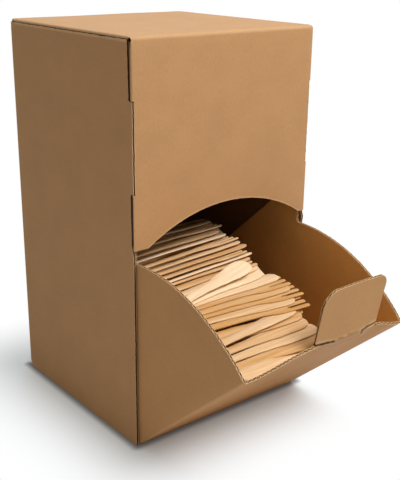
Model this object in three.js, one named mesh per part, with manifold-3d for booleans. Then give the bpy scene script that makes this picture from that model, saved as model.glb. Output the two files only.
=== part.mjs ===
// Corrugated dispenser carton with a tilt-out tray, filled with wooden knives, forks and spoons.
// Sizes are millimetres: X runs to the right, Y to the back, Z up.
// The origin is the middle of the carton's base. The tray is drawn open, as it stands in use.
import * as THREE from 'three';
import Module from 'manifold-3d';
import { mergeVertices } from 'three/addons/utils/BufferGeometryUtils.js';

const wasm = await Module();
wasm.setup();

// Board and clearances
const board = 3;
const foldRadius = 5;
const topFoldRadius = 4;
const sheetGap = 0.5;
const restGap = 0.3;
const cutMargin = 1;
const arcSteps = 4;
const archSteps = 24;
const hemFacets = 12;
const weld = 1e-4;

// Carton
const cartonWidth = 270;
const cartonDepth = 272;
const cartonHeight = 488;
const frontPanelFoot = 252;
const archMiddle = 5;
const archHalfWidth = 120;
const archRise = 36;
const topSeam = 1.2;
const sideSlot = 5;
const sideSetback = 1;
const tongueFoot = 318;
const tongueTop = 420;
const tuckDepth = 42;
const tuckFoot = 274;

// Tray, in its own closed position
const openAngle = THREE.MathUtils.degToRad(48.5);
const wallGap = 1.2;
const rightReach = 234;
const rimRise = 13;
const leftReach = rightReach + rimRise;
const notchReach = rightReach;
const hookHeight = 28;
const hookReach = notchReach + hookHeight;
const hookWidth = 37.4;
const hookClearance = 2;
const hookCorner = 6;
const hookSag = 1;
const heelCut = 2;
const notchRound = 3;
const notchEase = 0.3;
const wingSteps = 12;
const panelBow = 8;
const panelColumns = 16;
const panelRows = 6;

// Hand tab on the tray's top edge
const tabWidth = 100;
const tabCentre = 34;
const tabHeight = 70;
const tabLeftCorner = 20;
const tabRightCorner = 13;
const tabBase = rightReach + board / 2;
const tabFold = THREE.MathUtils.degToRad(38.5);

// Cutlery
const woodThickness = 1.65;
const pieceLength = 165;
const handleWidth = 9;
const neckWidth = 10.5;
const knifeWidth = 20;
const spoonWidth = 25;
const forkWidth = 23;
const handleEnd = 2;
const knifeBlade = 95;
const forkHead = 70;
const spoonHead = 58;
const tineLength = 30;
const tineBlunt = 1.2;
const tineSlot = 3;
const bundleCount = 10;
const bundlePitch = 19.8;
const bundleShift = 5;
const heapSlope = THREE.MathUtils.degToRad(25);
const heapHeight = 185;
const heapRoom = 8;
const heapReach = hookReach - heapRoom;
const heapFoot = 11;
const heapSetback = 40;
const panelStrips = 24;
const shuffleSeed = 7;
const shuffleStep = 16807;
const shuffleRange = 2147483647;

// Each head is a list of places from the neck (0) to the tip (1), with its share of the full width.
const knifeProfile = [[0.526, 0.93], [0.874, 1], [0.947, 0.78], [0.984, 0.45], [1, 0.12]];
const forkProfile = [[0.357, 0.86], [1, 1]];
const spoonProfile = [[0.241, 0.78], [0.517, 1], [0.793, 0.82], [0.931, 0.5], [1, 0.16]];

// Worked-out places
const frontY = -cartonDepth / 2;
const hinge = new THREE.Vector3(0, frontY + board / 2, board / 2);
const wallInside = cartonWidth / 2 - board;
const wingOutside = wallInside - wallGap;
const wingInside = wingOutside - board;
const pieceStart = -wingInside + 2 * sheetGap;

const kraft = new THREE.MeshStandardMaterial({ color: 0xbb9163, roughness: 0.85, metalness: 0 });
const kraftTray = new THREE.MeshStandardMaterial({ color: 0xa37c50, roughness: 0.85, metalness: 0 });
const kraftTab = new THREE.MeshStandardMaterial({ color: 0xb28c61, roughness: 0.85, metalness: 0 });
const wood = new THREE.MeshStandardMaterial({ color: 0xe8c59a, roughness: 0.65, metalness: 0 });

// Turns a geometry into a solid that can be joined and cut.
function toSolid(geometry) {
  const bare = geometry.index ? geometry.toNonIndexed() : geometry.clone();
  bare.deleteAttribute('normal');
  bare.deleteAttribute('uv');
  const merged = mergeVertices(bare, weld);
  const vertProperties = new Float32Array(merged.attributes.position.array);
  const triVerts = new Uint32Array(merged.index.array);
  return new wasm.Manifold(new wasm.Mesh({ numProp: 3, vertProperties, triVerts }));
}

// Turns a solid back into a geometry for a mesh.
function toGeometry(solid) {
  const mesh = solid.getMesh();
  const geometry = new THREE.BufferGeometry();
  geometry.setAttribute('position', new THREE.BufferAttribute(new Float32Array(mesh.vertProperties), 3));
  geometry.setIndex(new THREE.BufferAttribute(new Uint32Array(mesh.triVerts), 1));
  geometry.computeVertexNormals();
  return geometry;
}

function joinAll(solids) {
  return solids.reduce((whole, solid) => whole.add(solid));
}

function plate(shape, depth, steps = arcSteps) {
  return new THREE.ExtrudeGeometry(shape, { depth, bevelEnabled: false, curveSegments: steps });
}

// An outline in (y, z), pushed along X from x0 to x1.
function alongX(shape, x0, x1) {
  const basis = new THREE.Matrix4().set(0, 0, 1, x0, 1, 0, 0, 0, 0, 1, 0, 0, 0, 0, 0, 1);
  return toSolid(plate(shape, x1 - x0, arcSteps).applyMatrix4(basis));
}

// An outline in (x, z), pushed along Y from y0 to y1.
function alongY(shape, y0, y1, steps = arcSteps - 1) {
  return toSolid(plate(shape, y1 - y0, steps).rotateX(Math.PI / 2).translate(0, y1, 0));
}

// An outline in (x, y), pushed along Z from z0 to z1.
function alongZ(shape, z0, z1) {
  return toSolid(plate(shape, z1 - z0, arcSteps + 1).translate(0, 0, z0));
}

function block(x0, x1, y0, y1, z0, z1) {
  const box = new THREE.BoxGeometry(x1 - x0, y1 - y0, z1 - z0);
  return toSolid(box.translate((x0 + x1) / 2, (y0 + y1) / 2, (z0 + z1) / 2));
}

// A rectangle whose four corners have their own radii, anticlockwise from the lower left.
function roundedRectangle(a0, a1, b0, b1, radii) {
  const shape = new THREE.Shape();
  const [r0, r1, r2, r3] = radii;
  shape.moveTo(a0 + r0, b0);
  shape.lineTo(a1 - r1, b0);
  if (r1 > 0) shape.absarc(a1 - r1, b0 + r1, r1, -Math.PI / 2, 0);
  shape.lineTo(a1, b1 - r2);
  if (r2 > 0) shape.absarc(a1 - r2, b1 - r2, r2, 0, Math.PI / 2);
  shape.lineTo(a0 + r3, b1);
  if (r3 > 0) shape.absarc(a0 + r3, b1 - r3, r3, Math.PI / 2, Math.PI);
  shape.lineTo(a0, b0 + r0);
  if (r0 > 0) shape.absarc(a0 + r0, b0 + r0, r0, Math.PI, 1.5 * Math.PI);
  return shape;
}

// The carton: one folded and glued sheet
function makeCarton() {
  const w = cartonWidth / 2;
  const d = cartonDepth / 2;
  const h = cartonHeight;
  const r = foldRadius;
  const ri = foldRadius - board;

  // Front, top, back and bottom run round as one strip.
  const strip = roundedRectangle(-d, d, 0, h, [0, r, r, r]);
  strip.holes.push(roundedRectangle(-d + board, d - board, board, h - board, [0, ri, ri, ri]));
  const roundPlan = alongZ(roundedRectangle(-w, w, -d, d, [r, r, r, r]), -cutMargin, h + cutMargin);
  const topRound = [0, 0, topFoldRadius, topFoldRadius];
  const roundFront = alongY(roundedRectangle(-w, w, 0, h, topRound), -d - cutMargin, d + cutMargin);
  let cover = alongX(strip, -w, w).intersect(roundPlan).intersect(roundFront);

  // The front panel ends in a wide arch over the tray.
  const archRadius = (archHalfWidth ** 2 + archRise ** 2) / (2 * archRise);
  const archAngle = Math.asin(archHalfWidth / archRadius);
  const mouth = new THREE.Shape();
  mouth.moveTo(-w - cutMargin, -cutMargin);
  mouth.lineTo(w + cutMargin, -cutMargin);
  mouth.lineTo(w + cutMargin, frontPanelFoot);
  mouth.lineTo(archMiddle + archHalfWidth, frontPanelFoot);
  const archCentre = frontPanelFoot + archRise - archRadius;
  mouth.absarc(archMiddle, archCentre, archRadius, Math.PI / 2 - archAngle, Math.PI / 2 + archAngle);
  mouth.lineTo(-w - cutMargin, frontPanelFoot);
  const floorFront = hinge.y + board / 2 + sheetGap;
  cover = cover.subtract(alongY(mouth, -d - cutMargin, floorFront, archSteps));

  // The tongues of the side walls come through the front folds.
  for (const side of [-1, 1]) {
    const x0 = side < 0 ? -w - cutMargin : w - board;
    const x1 = x0 + board + cutMargin;
    cover = cover.subtract(block(x0, x1, -d - cutMargin, -d + board + cutMargin, tongueFoot, tongueTop));
  }

  // Side walls stand behind the front folds, and their front edges are raw.
  const wall = new THREE.Shape();
  const edgeY = -d + sideSetback;
  const slotY = -d + sideSlot;
  wall.moveTo(edgeY, 0);
  wall.lineTo(d, 0);
  wall.lineTo(d, h - board - topSeam);
  wall.lineTo(slotY, h - board - topSeam);
  wall.lineTo(slotY, tongueTop + sideSlot / 2);
  wall.absarc(slotY - sideSlot / 2, tongueTop + sideSlot / 2, sideSlot / 2, 0, -Math.PI / 2, true);
  wall.lineTo(-d, tongueTop);
  wall.lineTo(-d, tongueFoot);
  wall.lineTo(slotY - sideSlot / 2, tongueFoot);
  wall.absarc(slotY - sideSlot / 2, tongueFoot - sideSlot / 2, sideSlot / 2, Math.PI / 2, 0, true);
  wall.lineTo(slotY, frontPanelFoot);
  wall.lineTo(edgeY, frontPanelFoot - sideSlot);
  const roundBack = alongZ(roundedRectangle(-w, w, -d, d, [0, 0, r, r]), -cutMargin, h + cutMargin);
  const walls = [alongX(wall, -w, -w + board), alongX(wall, w - board, w)];
  const sides = walls.map((solid) => solid.intersect(roundBack));

  // Tuck flaps of the front and the top lie inside the side walls.
  const flapOut = wallInside - sheetGap;
  const flaps = [];
  for (const side of [-1, 1]) {
    const xs = [side * flapOut, side * (flapOut - board)].sort((a, b) => a - b);
    const tuckBack = -d + board + tuckDepth;
    const tuckTop = h - board - tuckDepth;
    flaps.push(block(...xs, -d + board / 2, tuckBack, tuckFoot, tuckTop));
    flaps.push(block(...xs, tuckBack + board, d - 2 * board, tuckTop, h - board / 2));
  }
  return joinAll([cover, ...sides, ...flaps]);
}

// The tray: a front panel with a wing folded back from each side edge
function reachAt(x) {
  const share = (x + wingOutside) / (2 * wingOutside);
  return leftReach + (rightReach - leftReach) * share;
}

// How far the panel bows inwards, most of all where its hand tab pulls it up.
function bowAt(x, up) {
  const edge = tabWidth / 2;
  const away = Math.max(0, Math.abs(x - tabCentre) - edge);
  const room = wingInside - edge - Math.sign(x - tabCentre) * tabCentre;
  const across = 0.5 + 0.5 * Math.cos(Math.PI * Math.min(1, away / room));
  const height = Math.min(1, up / tabBase);
  return panelBow * across * height * height;
}

function makePanel() {
  const grid = new THREE.BoxGeometry(2 * wingOutside, board, 1, panelColumns, 1, panelRows);
  const point = grid.attributes.position;
  for (let i = 0; i < point.count; i += 1) {
    const x = point.getX(i);
    const up = (point.getZ(i) + 0.5) * reachAt(x);
    point.setXYZ(i, x, point.getY(i) + bowAt(x, up), up);
  }
  const hem = new THREE.CylinderGeometry(board / 2, board / 2, 2 * wingOutside, hemFacets).rotateZ(Math.PI / 2);
  const tabRoom = block(
    tabCentre - tabWidth / 2 - sheetGap, tabCentre + tabWidth / 2 + sheetGap,
    -board - panelBow, 2 * board + panelBow, tabBase - board / 2 - sheetGap, leftReach + board,
  );
  return toSolid(grid).add(toSolid(hem)).subtract(tabRoom);
}

// A wing's outline in (back from the hinge, up from the hinge), in the closed position.
function wingShape(reach) {
  const shape = new THREE.Shape();
  const sweep = Math.PI - openAngle;
  const notchBack = board / 2 + hookClearance;
  shape.moveTo(-board / 2, board / 2);
  for (let i = 0; i <= wingSteps; i += 1) {
    const part = i / wingSteps;
    const radius = reach + (notchReach - reach) * part;
    const angle = Math.PI / 2 - openAngle * part;
    shape.lineTo(radius * Math.cos(angle) - (board / 2) * (1 - part), radius * Math.sin(angle));
  }
  // The notch and the hook are square to the front panel when the tray is open.
  const turned = (back, up) => new THREE.Vector2(back, up).rotateAround(new THREE.Vector2(), -openAngle);
  const notchFoot = turned(notchBack - notchRound, notchReach);
  const notchCorner = turned(notchBack - notchRound * notchEase, notchReach + notchRound * notchEase);
  const notchTop = turned(notchBack, notchReach + notchRound);
  shape.lineTo(notchFoot.x, notchFoot.y);
  shape.lineTo(notchCorner.x, notchCorner.y);
  shape.lineTo(notchTop.x, notchTop.y);
  const hookTip = turned(notchBack, hookReach - hookCorner);
  const hookSide = turned(notchBack + hookCorner, hookReach - hookSag);
  shape.lineTo(hookTip.x, hookTip.y);
  shape.lineTo(hookSide.x, hookSide.y);
  const tipAngle = sweep - Math.PI / 2 - Math.atan2(notchBack + hookCorner, hookReach);
  const heelAngle = tipAngle - hookWidth / hookReach;
  for (let i = 1; i < arcSteps; i += 1) {
    const angle = tipAngle + ((heelAngle - tipAngle) * i) / arcSteps;
    shape.lineTo(hookReach * Math.cos(angle), hookReach * Math.sin(angle));
  }
  const heel = hookReach * Math.sin(heelAngle);
  const wingDepth = hookReach * Math.cos(heelAngle);
  shape.lineTo(wingDepth - heelCut, heel + heelCut / 2);
  shape.lineTo(wingDepth, heel - hookCorner);
  shape.lineTo(wingDepth, board / 2 + sheetGap + hookCorner);
  shape.lineTo(wingDepth - hookCorner, board / 2 + sheetGap);
  shape.lineTo(board, board / 2 + sheetGap);
  return shape;
}

function makeTray() {
  const left = alongX(wingShape(leftReach), -wingOutside, -wingInside);
  const right = alongX(wingShape(rightReach), wingInside, wingOutside);
  return joinAll([makePanel(), left, right]);
}

// The hand tab, drawn upright from its fold
function makeTab() {
  const half = tabWidth / 2;
  const shape = roundedRectangle(-half, half, 0, tabHeight, [0, 0, tabRightCorner, tabLeftCorner]);
  const hem = new THREE.CylinderGeometry(board / 2, board / 2, tabWidth, hemFacets).rotateZ(Math.PI / 2);
  return alongY(shape, -board / 2, board / 2).add(toSolid(hem));
}

// Half the width of a piece of cutlery at each place along it, from the handle's end to the tip.
function stations(kind, length) {
  const heads = {
    knife: [knifeBlade, knifeWidth, knifeProfile],
    fork: [forkHead, forkWidth, forkProfile],
    spoon: [spoonHead, spoonWidth, spoonProfile],
  };
  const [head, width, profile] = heads[kind];
  const neck = length - head;
  const handle = [[0, handleWidth / 4], [handleEnd, handleWidth / 2], [neck, neckWidth / 2]];
  return [...handle, ...profile.map(([place, share]) => [neck + head * place, (share * width) / 2])];
}

// A piece's outline in its own plane, grown on every side by a margin.
function outline(kind, length, grow = 0) {
  const along = stations(kind, length);
  const last = along.length - 1;
  const stretch = (u, i) => u + (i === 0 ? -grow : 0) + (i === last ? grow : 0);
  const lower = along.map(([u, half], i) => new THREE.Vector2(stretch(u, i), -half - grow));
  const upper = along.map(([u, half], i) => new THREE.Vector2(stretch(u, i), half + grow)).reverse();
  return [...lower, ...upper];
}

// A fork's outline with its tines: two slots cut in from the tip.
function forkOutline(length) {
  const points = outline('fork', length);
  const head = points.length / 2;
  const tine = (forkWidth - 2 * tineSlot) / 3;
  const inner = tine / 2;
  const outer = inner + tineSlot;
  const root = length - tineLength;
  const side = forkWidth / 2;
  const ease = tineBlunt;
  const cut = length - 2 * ease;
  const comb = [
    [cut, -side], [length, -side + ease], [length, -outer - ease], [cut, -outer], [root, -outer],
    [root, -inner], [cut, -inner], [length, -inner + ease], [length, inner - ease], [cut, inner], [root, inner],
    [root, outer], [cut, outer], [length, outer + ease], [length, side - ease], [cut, side],
  ].map(([u, v]) => new THREE.Vector2(u, v));
  return [...points.slice(0, head - 1), ...comb, ...points.slice(head + 1)];
}

function pieceGeometry(kind, length, thickness) {
  const points = kind === 'fork' ? forkOutline(length) : outline(kind, length);
  return plate(new THREE.Shape(points), thickness);
}

// The frame of a piece: along its length, across it, and out of its upper face.
function pieceFrame(tilt, yaw) {
  const upSlope = new THREE.Vector3(0, Math.cos(tilt), Math.sin(tilt));
  const normal = new THREE.Vector3(0, -Math.sin(tilt), Math.cos(tilt));
  const along = new THREE.Vector3(Math.cos(yaw), 0, 0).addScaledVector(upSlope, Math.sin(yaw));
  const across = new THREE.Vector3().crossVectors(normal, along);
  return new THREE.Matrix4().makeBasis(along, across, normal);
}

function planOf(points, place) {
  return points.map((p) => new THREE.Vector3(p.x, p.y, 0).applyMatrix4(place));
}

function inside(point, ring) {
  let odd = false;
  for (let i = 0, j = ring.length - 1; i < ring.length; j = i, i += 1) {
    const a = ring[i];
    const b = ring[j];
    const crosses = a.y > point.y !== b.y > point.y;
    if (crosses && point.x < ((b.x - a.x) * (point.y - a.y)) / (b.y - a.y) + a.x) odd = !odd;
  }
  return odd;
}

function crossing(a, b, c, d) {
  const r = { x: b.x - a.x, y: b.y - a.y };
  const s = { x: d.x - c.x, y: d.y - c.y };
  const span = r.x * s.y - r.y * s.x;
  if (span === 0) return null;
  const t = ((c.x - a.x) * s.y - (c.y - a.y) * s.x) / span;
  const u = ((c.x - a.x) * r.y - (c.y - a.y) * r.x) / span;
  return t >= 0 && t <= 1 && u >= 0 && u <= 1 ? { x: a.x + r.x * t, y: a.y + r.y * t } : null;
}

// The corners of the area that two outlines share, seen from above.
function sharedCorners(first, second) {
  const found = [...first.filter((p) => inside(p, second)), ...second.filter((p) => inside(p, first))];
  first.forEach((a, i) => {
    const b = first[(i + 1) % first.length];
    second.forEach((c, j) => {
      const hit = crossing(a, b, c, second[(j + 1) % second.length]);
      if (hit) found.push(hit);
    });
  });
  return found;
}

// Lowers a piece until its under face rests on what lies below it, and gives its final place.
function layDown(kind, length, tipX, tipY, yaw, tilt, placed) {
  const frame = pieceFrame(tilt, yaw);
  const tip = new THREE.Vector3(length, 0, 0).applyMatrix4(frame);
  const place = frame.clone().setPosition(tipX - tip.x, tipY - tip.y, 0);
  const middle = place.clone().multiply(new THREE.Matrix4().makeTranslation(0, 0, woodThickness / 2));
  const ring = planOf(outline(kind, length, sheetGap), middle);
  const slope = Math.tan(tilt);
  const start = place.elements[13];
  let lift = -Infinity;
  for (const other of placed) {
    for (const corner of sharedCorners(ring, other.ring)) {
      const under = (corner.y - start) * slope;
      lift = Math.max(lift, other.top(corner.y) - under + restGap / Math.cos(tilt));
    }
  }
  place.elements[14] = lift;
  const rise = lift + woodThickness / Math.cos(tilt);
  placed.push({ ring, top: (y) => rise + (y - start) * slope });
  return place;
}

// The tray's bowed front panel carries the lowest pieces: one narrow strip of it after another.
function panelBeds() {
  const panelSlope = Math.tan(Math.PI / 2 - openAngle);
  const width = (2 * wingInside) / panelStrips;
  const edge = hinge.y - rightReach * Math.sin(openAngle);
  return Array.from({ length: panelStrips }, (_, i) => {
    const left = -wingInside + i * width;
    const corners = [[left, edge], [left + width, edge], [left + width, hinge.y], [left, hinge.y]];
    const ring = corners.map(([x, y]) => new THREE.Vector2(x, y));
    const top = (y) => {
      const out = hinge.y - y - sheetGap;
      const up = out / Math.sin(openAngle) + panelBow;
      const bow = Math.max(bowAt(left, up), bowAt(left + width, up));
      return hinge.z + (board / 2 + bow) / Math.sin(openAngle) + out * panelSlope;
    };
    return { ring, top };
  });
}

// A steady stream of numbers between -1 and 1 that is the same on every run.
function makeShuffle(seed) {
  let state = seed;
  return () => {
    state = (state * shuffleStep) % shuffleRange;
    return (2 * state) / shuffleRange - 1;
  };
}

// The heap's bed: layers of squared-up bundles of like pieces, each layer fused into one body.
// Along is measured up the heap's slope from the hinge, height square to it.
function bedLayer(height, setback, shuffle, placed) {
  const thickness = bundleCount * woodThickness;
  const bundles = [];
  const half = knifeWidth / 2;
  const closedFloor = openAngle - heapSlope;
  const panelAngle = Math.PI / 2 - openAngle + heapSlope;
  const keep = board / 2 + sheetGap;
  const flatFront = (keep - height * Math.cos(panelAngle)) / Math.sin(panelAngle);
  const up = height / Math.sin(panelAngle);
  const bowed = panelBow * Math.min(1, (up + half) / tabBase) ** 2;
  let along = flatFront + bowed / Math.sin(panelAngle) + setback + half;
  const rearFloor = (height * Math.cos(closedFloor) - keep) / Math.sin(closedFloor);
  const rearReach = Math.sqrt(Math.max(0, heapReach ** 2 - (height + thickness) ** 2));
  while (along + half < Math.min(rearFloor, rearReach)) {
    const place = pieceFrame(heapSlope, 0);
    const y = hinge.y + along * Math.cos(heapSlope) - height * Math.sin(heapSlope);
    const z = hinge.z + along * Math.sin(heapSlope) + height * Math.cos(heapSlope);
    place.setPosition(pieceStart + bundleShift * (1 + shuffle()), y, z);
    bundles.push(toSolid(pieceGeometry('knife', pieceLength, thickness).applyMatrix4(place)));
    const lid = place.clone().multiply(new THREE.Matrix4().makeTranslation(0, 0, thickness));
    const ring = planOf(outline('knife', pieceLength, sheetGap), lid);
    const base = lid.elements[14];
    const start = lid.elements[13];
    placed.push({ ring, top: (at) => base + (at - start) * Math.tan(heapSlope) });
    along += bundlePitch;
  }
  return joinAll(bundles);
}

// Loose pieces from the tray's front edge to the back of the heap, each laid on those before it.
// Each line is the kind, the length as a share of the longest, the tip's place across and along as
// shares of the heap's reach from the hinge, and the turn in its plane and the tilt in degrees.
const loosePieces = [
  ['spoon', 0.836, 0.047, -0.596, 0, 16],
  ['knife', 0.873, 0.071, -0.553, 1, 18],
  ['knife', 0.842, 0.051, -0.51, 2, 14],
  ['knife', 0.848, 0.055, -0.47, 0, 11],
  ['knife', 0.824, 0.039, -0.439, 8, 5],
  ['fork', 0.952, 0.13, -0.423, -3, 9],
  ['knife', 0.885, 0.087, -0.392, -4, 9],
  ['fork', 0.982, 0.154, -0.356, -3, 8],
  ['knife', 0.958, 0.126, -0.317, -1, 7],
  ['fork', 0.97, 0.142, -0.278, 0, 6],
  ['knife', 0.952, 0.13, -0.234, 3, 6],
  ['spoon', 0.885, 0.079, -0.167, 10, 6],
  ['knife', 0.909, 0.094, -0.124, 7, 5],
  ['fork', 0.915, 0.094, -0.093, 6, 4],
  ['knife', 0.897, 0.098, -0.065, 5, 3],
  ['knife', 0.958, 0.134, -0.037, 6, 3],
  ['fork', 0.897, 0.102, -0.01, 6, 4],
  ['knife', 0.982, 0.154, 0.026, 6, 4],
  ['knife', 0.958, 0.138, 0.057, 6, 5],
  ['fork', 0.958, 0.134, 0.093, 6, 6],
  ['knife', 0.903, 0.11, 0.132, 5, 7],
  ['knife', 0.909, 0.094, 0.167, 5, 8],
  ['fork', 0.939, 0.122, 0.207, 4, 9],
  ['knife', 0.909, 0.098, 0.246, 3, 10],
  ['spoon', 0.824, 0.028, -0.14, 14, 19],
];

const assembly = new THREE.Group();

function addPiece(parent, name, geometry, material) {
  const mesh = new THREE.Mesh(geometry, material);
  mesh.name = name;
  parent.add(mesh);
  return mesh;
}

addPiece(assembly, 'carton', toGeometry(makeCarton()), kraft);

const trayGroup = new THREE.Group();
trayGroup.position.copy(hinge);
trayGroup.rotation.x = openAngle;
addPiece(trayGroup, 'tray', toGeometry(makeTray()), kraftTray);
const tab = addPiece(trayGroup, 'tab', toGeometry(makeTab()), kraftTab);
tab.position.set(tabCentre, panelBow, tabBase);
tab.rotation.x = -tabFold;
assembly.add(trayGroup);

const shuffle = makeShuffle(shuffleSeed);
const placed = panelBeds();
const layerStep = bundleCount * woodThickness + restGap;
const layers = Math.floor((heapHeight - heapFoot) / layerStep);
for (let i = 0; i < layers; i += 1) {
  const setback = i === layers - 1 ? heapSetback : 0;
  const layer = bedLayer(heapFoot + i * layerStep, setback, shuffle, placed);
  addPiece(assembly, `bed_layer_${i + 1}`, toGeometry(layer), wood);
}

const pieces = { knife: 0, fork: 0, spoon: 0 };
for (const [kind, size, across, back, turn, lean] of loosePieces) {
  const length = size * pieceLength;
  const tipX = across * heapReach;
  const tipY = hinge.y + back * heapReach;
  const yaw = THREE.MathUtils.degToRad(turn);
  const tilt = THREE.MathUtils.degToRad(lean);
  const place = layDown(kind, length, tipX, tipY, yaw, tilt, placed);
  pieces[kind] += 1;
  const name = `${kind}_${pieces[kind]}`;
  const mesh = addPiece(assembly, name, toGeometry(toSolid(pieceGeometry(kind, length, woodThickness))), wood);
  mesh.position.setFromMatrixPosition(place);
  mesh.quaternion.setFromRotationMatrix(place);
}

export default assembly;
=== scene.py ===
# %% [markdown]
# A corrugated dispenser carton, its tilt-out tray and a heap of wooden cutlery.
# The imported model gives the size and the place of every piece, and this lesson dresses it.
# Each cell makes one thing and prints what it made, and the cells are run in order.
# %% Load the frame
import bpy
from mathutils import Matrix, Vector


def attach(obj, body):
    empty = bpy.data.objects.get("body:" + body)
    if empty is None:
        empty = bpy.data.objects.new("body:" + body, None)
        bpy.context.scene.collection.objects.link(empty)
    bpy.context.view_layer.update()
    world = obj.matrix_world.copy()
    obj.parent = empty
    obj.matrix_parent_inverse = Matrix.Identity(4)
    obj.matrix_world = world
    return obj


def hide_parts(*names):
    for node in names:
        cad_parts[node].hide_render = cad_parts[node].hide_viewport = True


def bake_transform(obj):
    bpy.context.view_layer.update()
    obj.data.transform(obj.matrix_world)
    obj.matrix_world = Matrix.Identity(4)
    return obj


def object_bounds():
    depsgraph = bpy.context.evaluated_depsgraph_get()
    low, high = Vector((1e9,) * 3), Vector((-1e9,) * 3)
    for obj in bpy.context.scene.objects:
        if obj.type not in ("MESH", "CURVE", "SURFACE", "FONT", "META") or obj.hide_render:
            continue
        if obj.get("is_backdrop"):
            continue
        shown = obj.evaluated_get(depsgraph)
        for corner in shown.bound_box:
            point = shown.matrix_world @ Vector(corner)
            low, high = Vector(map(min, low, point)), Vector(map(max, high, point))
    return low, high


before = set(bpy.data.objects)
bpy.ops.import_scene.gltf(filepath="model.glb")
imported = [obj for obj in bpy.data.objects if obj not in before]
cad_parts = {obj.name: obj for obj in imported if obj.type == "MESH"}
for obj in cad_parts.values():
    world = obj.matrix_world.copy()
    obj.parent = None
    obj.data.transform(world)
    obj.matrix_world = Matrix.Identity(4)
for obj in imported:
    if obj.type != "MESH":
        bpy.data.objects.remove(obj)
cad_bounds = [list(corner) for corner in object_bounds()]
print("nodes in the frame:", len(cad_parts))

# %% [markdown]
# Plain mathematics, Blender's own mesh tools and one noise function are all that is needed.
# A carton maker measures in millimetres and the frame is in metres, so MM turns one into the other.
# %% Tools of the trade
from math import sin, cos, tan, pi, radians, sqrt, acos, atan2, hypot
import bmesh
import bpy
import numpy as np
from mathutils import Vector, Matrix, noise
from mathutils.geometry import delaunay_2d_cdt

MM = 0.001
print("one millimetre is", MM, "metres")

# %% [markdown]
# The camera stands where the photograph was taken: left of the front and a little above.
# Its distance, angles and focal length come from fitting a pinhole to the carton's straight edges.
# Setting the three axes by hand keeps the small roll of the original picture.
# %% Camera
AZIMUTH = radians(-39.096)
ELEVATION = radians(19.21)
ROLL = radians(0.715)
TARGET = Vector((-35.39, -130.2, 243.97)) * MM
DISTANCE = 1004.73 * MM
FOCAL_LENGTH = 62.81
SENSOR_WIDTH = 36

towards = Vector((sin(AZIMUTH) * cos(ELEVATION), -cos(AZIMUTH) * cos(ELEVATION), sin(ELEVATION)))
level = Vector((0, 0, 1)).cross(towards).normalized()
upright = towards.cross(level)
right = level * cos(ROLL) + upright * sin(ROLL)
up = upright * cos(ROLL) - level * sin(ROLL)

camera_data = bpy.data.cameras.new("camera")
camera_data.lens = FOCAL_LENGTH
camera_data.sensor_width = SENSOR_WIDTH
camera_data.clip_end = 100
camera = bpy.data.objects.new("camera", camera_data)
bpy.context.scene.collection.objects.link(camera)
facing = Matrix((right, up, towards)).transposed().to_4x4()
camera.matrix_world = Matrix.Translation(TARGET + towards * DISTANCE) @ facing
bpy.context.scene.camera = camera
bpy.context.scene.view_settings.view_transform = "Standard"
print("camera at", [round(c, 3) for c in camera.location])

# %% [markdown]
# Board is cut flat and then folded, so every card piece starts as a flat outline.
# A path made of lines and arcs says how the sheet bends; a point on the flat sheet
# is carried along the path, and its depth in the board is measured square to it.
# One rule then serves for the carton's long strip, its side folds and the tray's wings.
# %% Folding a flat sheet along a path
def bend(distance, depth, parts):
    """Carries a distance along the sheet and a depth into it to a place (along, in)."""
    along, inward, heading = 0.0, 0.0, 0.0
    left = distance
    for k, (length, turn) in enumerate(parts):
        part = left if k == len(parts) - 1 else min(left, length)
        if turn == 0:
            along += part * cos(heading)
            inward += part * sin(heading)
        else:
            radius = length / turn
            end = heading + part / radius
            along += radius * (sin(end) - sin(heading))
            inward += radius * (cos(heading) - cos(end))
            heading = end
        left -= part
        if left <= 0:
            break
    return along - depth * sin(heading), inward + depth * cos(heading)


def line(length):
    """A part of a path where the sheet stays flat, as (length, turn)."""
    return (length, 0)


def arc(radius, degrees):
    """A part of a path where the sheet bends. Its length is taken along the outer face."""
    turn = radians(degrees)
    return (abs(radius * turn), turn)


print("a quarter turn of 5 mm takes", round(arc(5, 90)[0], 2), "mm of board")

# %% [markdown]
# A die cuts the outline. Straight cuts need few points, but a raw edge needs one for
# every part of a flute, or the wavy middle layer can't show.
# %% Drawing outlines
def walk(points, step, raw=True):
    """Points along a chain of straight cuts, each marked as raw or not, without the last."""
    found = []
    for (a, b), (c, d) in zip(points, points[1:]):
        count = max(1, int(round(hypot(c - a, d - b) / step)))
        found += [(a + (c - a) * i / count, b + (d - b) * i / count, raw) for i in range(count)]
    return found


def sweep(centre, radius, start, end, count):
    """Points on a round cut, from one angle in degrees to another."""
    angles = [radians(start + (end - start) * i / count) for i in range(count + 1)]
    return [(centre[0] + radius * cos(a), centre[1] + radius * sin(a)) for a in angles]


def inward_normals(outline):
    """The direction into the sheet at each point of its outline."""
    p = np.array([(u, v) for u, v, *_ in outline])
    after = np.roll(p, -1, axis=0)
    area = np.sum(p[:, 0] * after[:, 1] - after[:, 0] * p[:, 1])
    side = after - p
    side /= np.maximum(np.linalg.norm(side, axis=1, keepdims=True), 1e-9)
    normal = np.column_stack([-side[:, 1], side[:, 0]]) * np.sign(area)
    mean = normal + np.roll(normal, 1, axis=0)
    return mean / np.maximum(np.linalg.norm(mean, axis=1, keepdims=True), 0.35)


def lumps(u, v, fineness, seed):
    """Gentle ups and downs from -1 to 1 over the sheet, the same on every run."""
    return noise.noise(Vector((u * fineness, v * fineness, seed)))


def ragged(outline, amount, seed):
    """A worn die leaves a slightly lumpy cut, so raw points move a little in and out."""
    normals = inward_normals(outline)
    moved = []
    for (u, v, raw), (nu, nv) in zip(outline, normals):
        lump = lumps(u, v, 0.21, seed) * amount if raw else 0
        moved.append((u + nu * lump, v + nv * lump, raw))
    return moved


print("a raw cut of 60 mm gets", len(walk([(0, 0), (60, 0)], 1.0)), "points")

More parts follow.
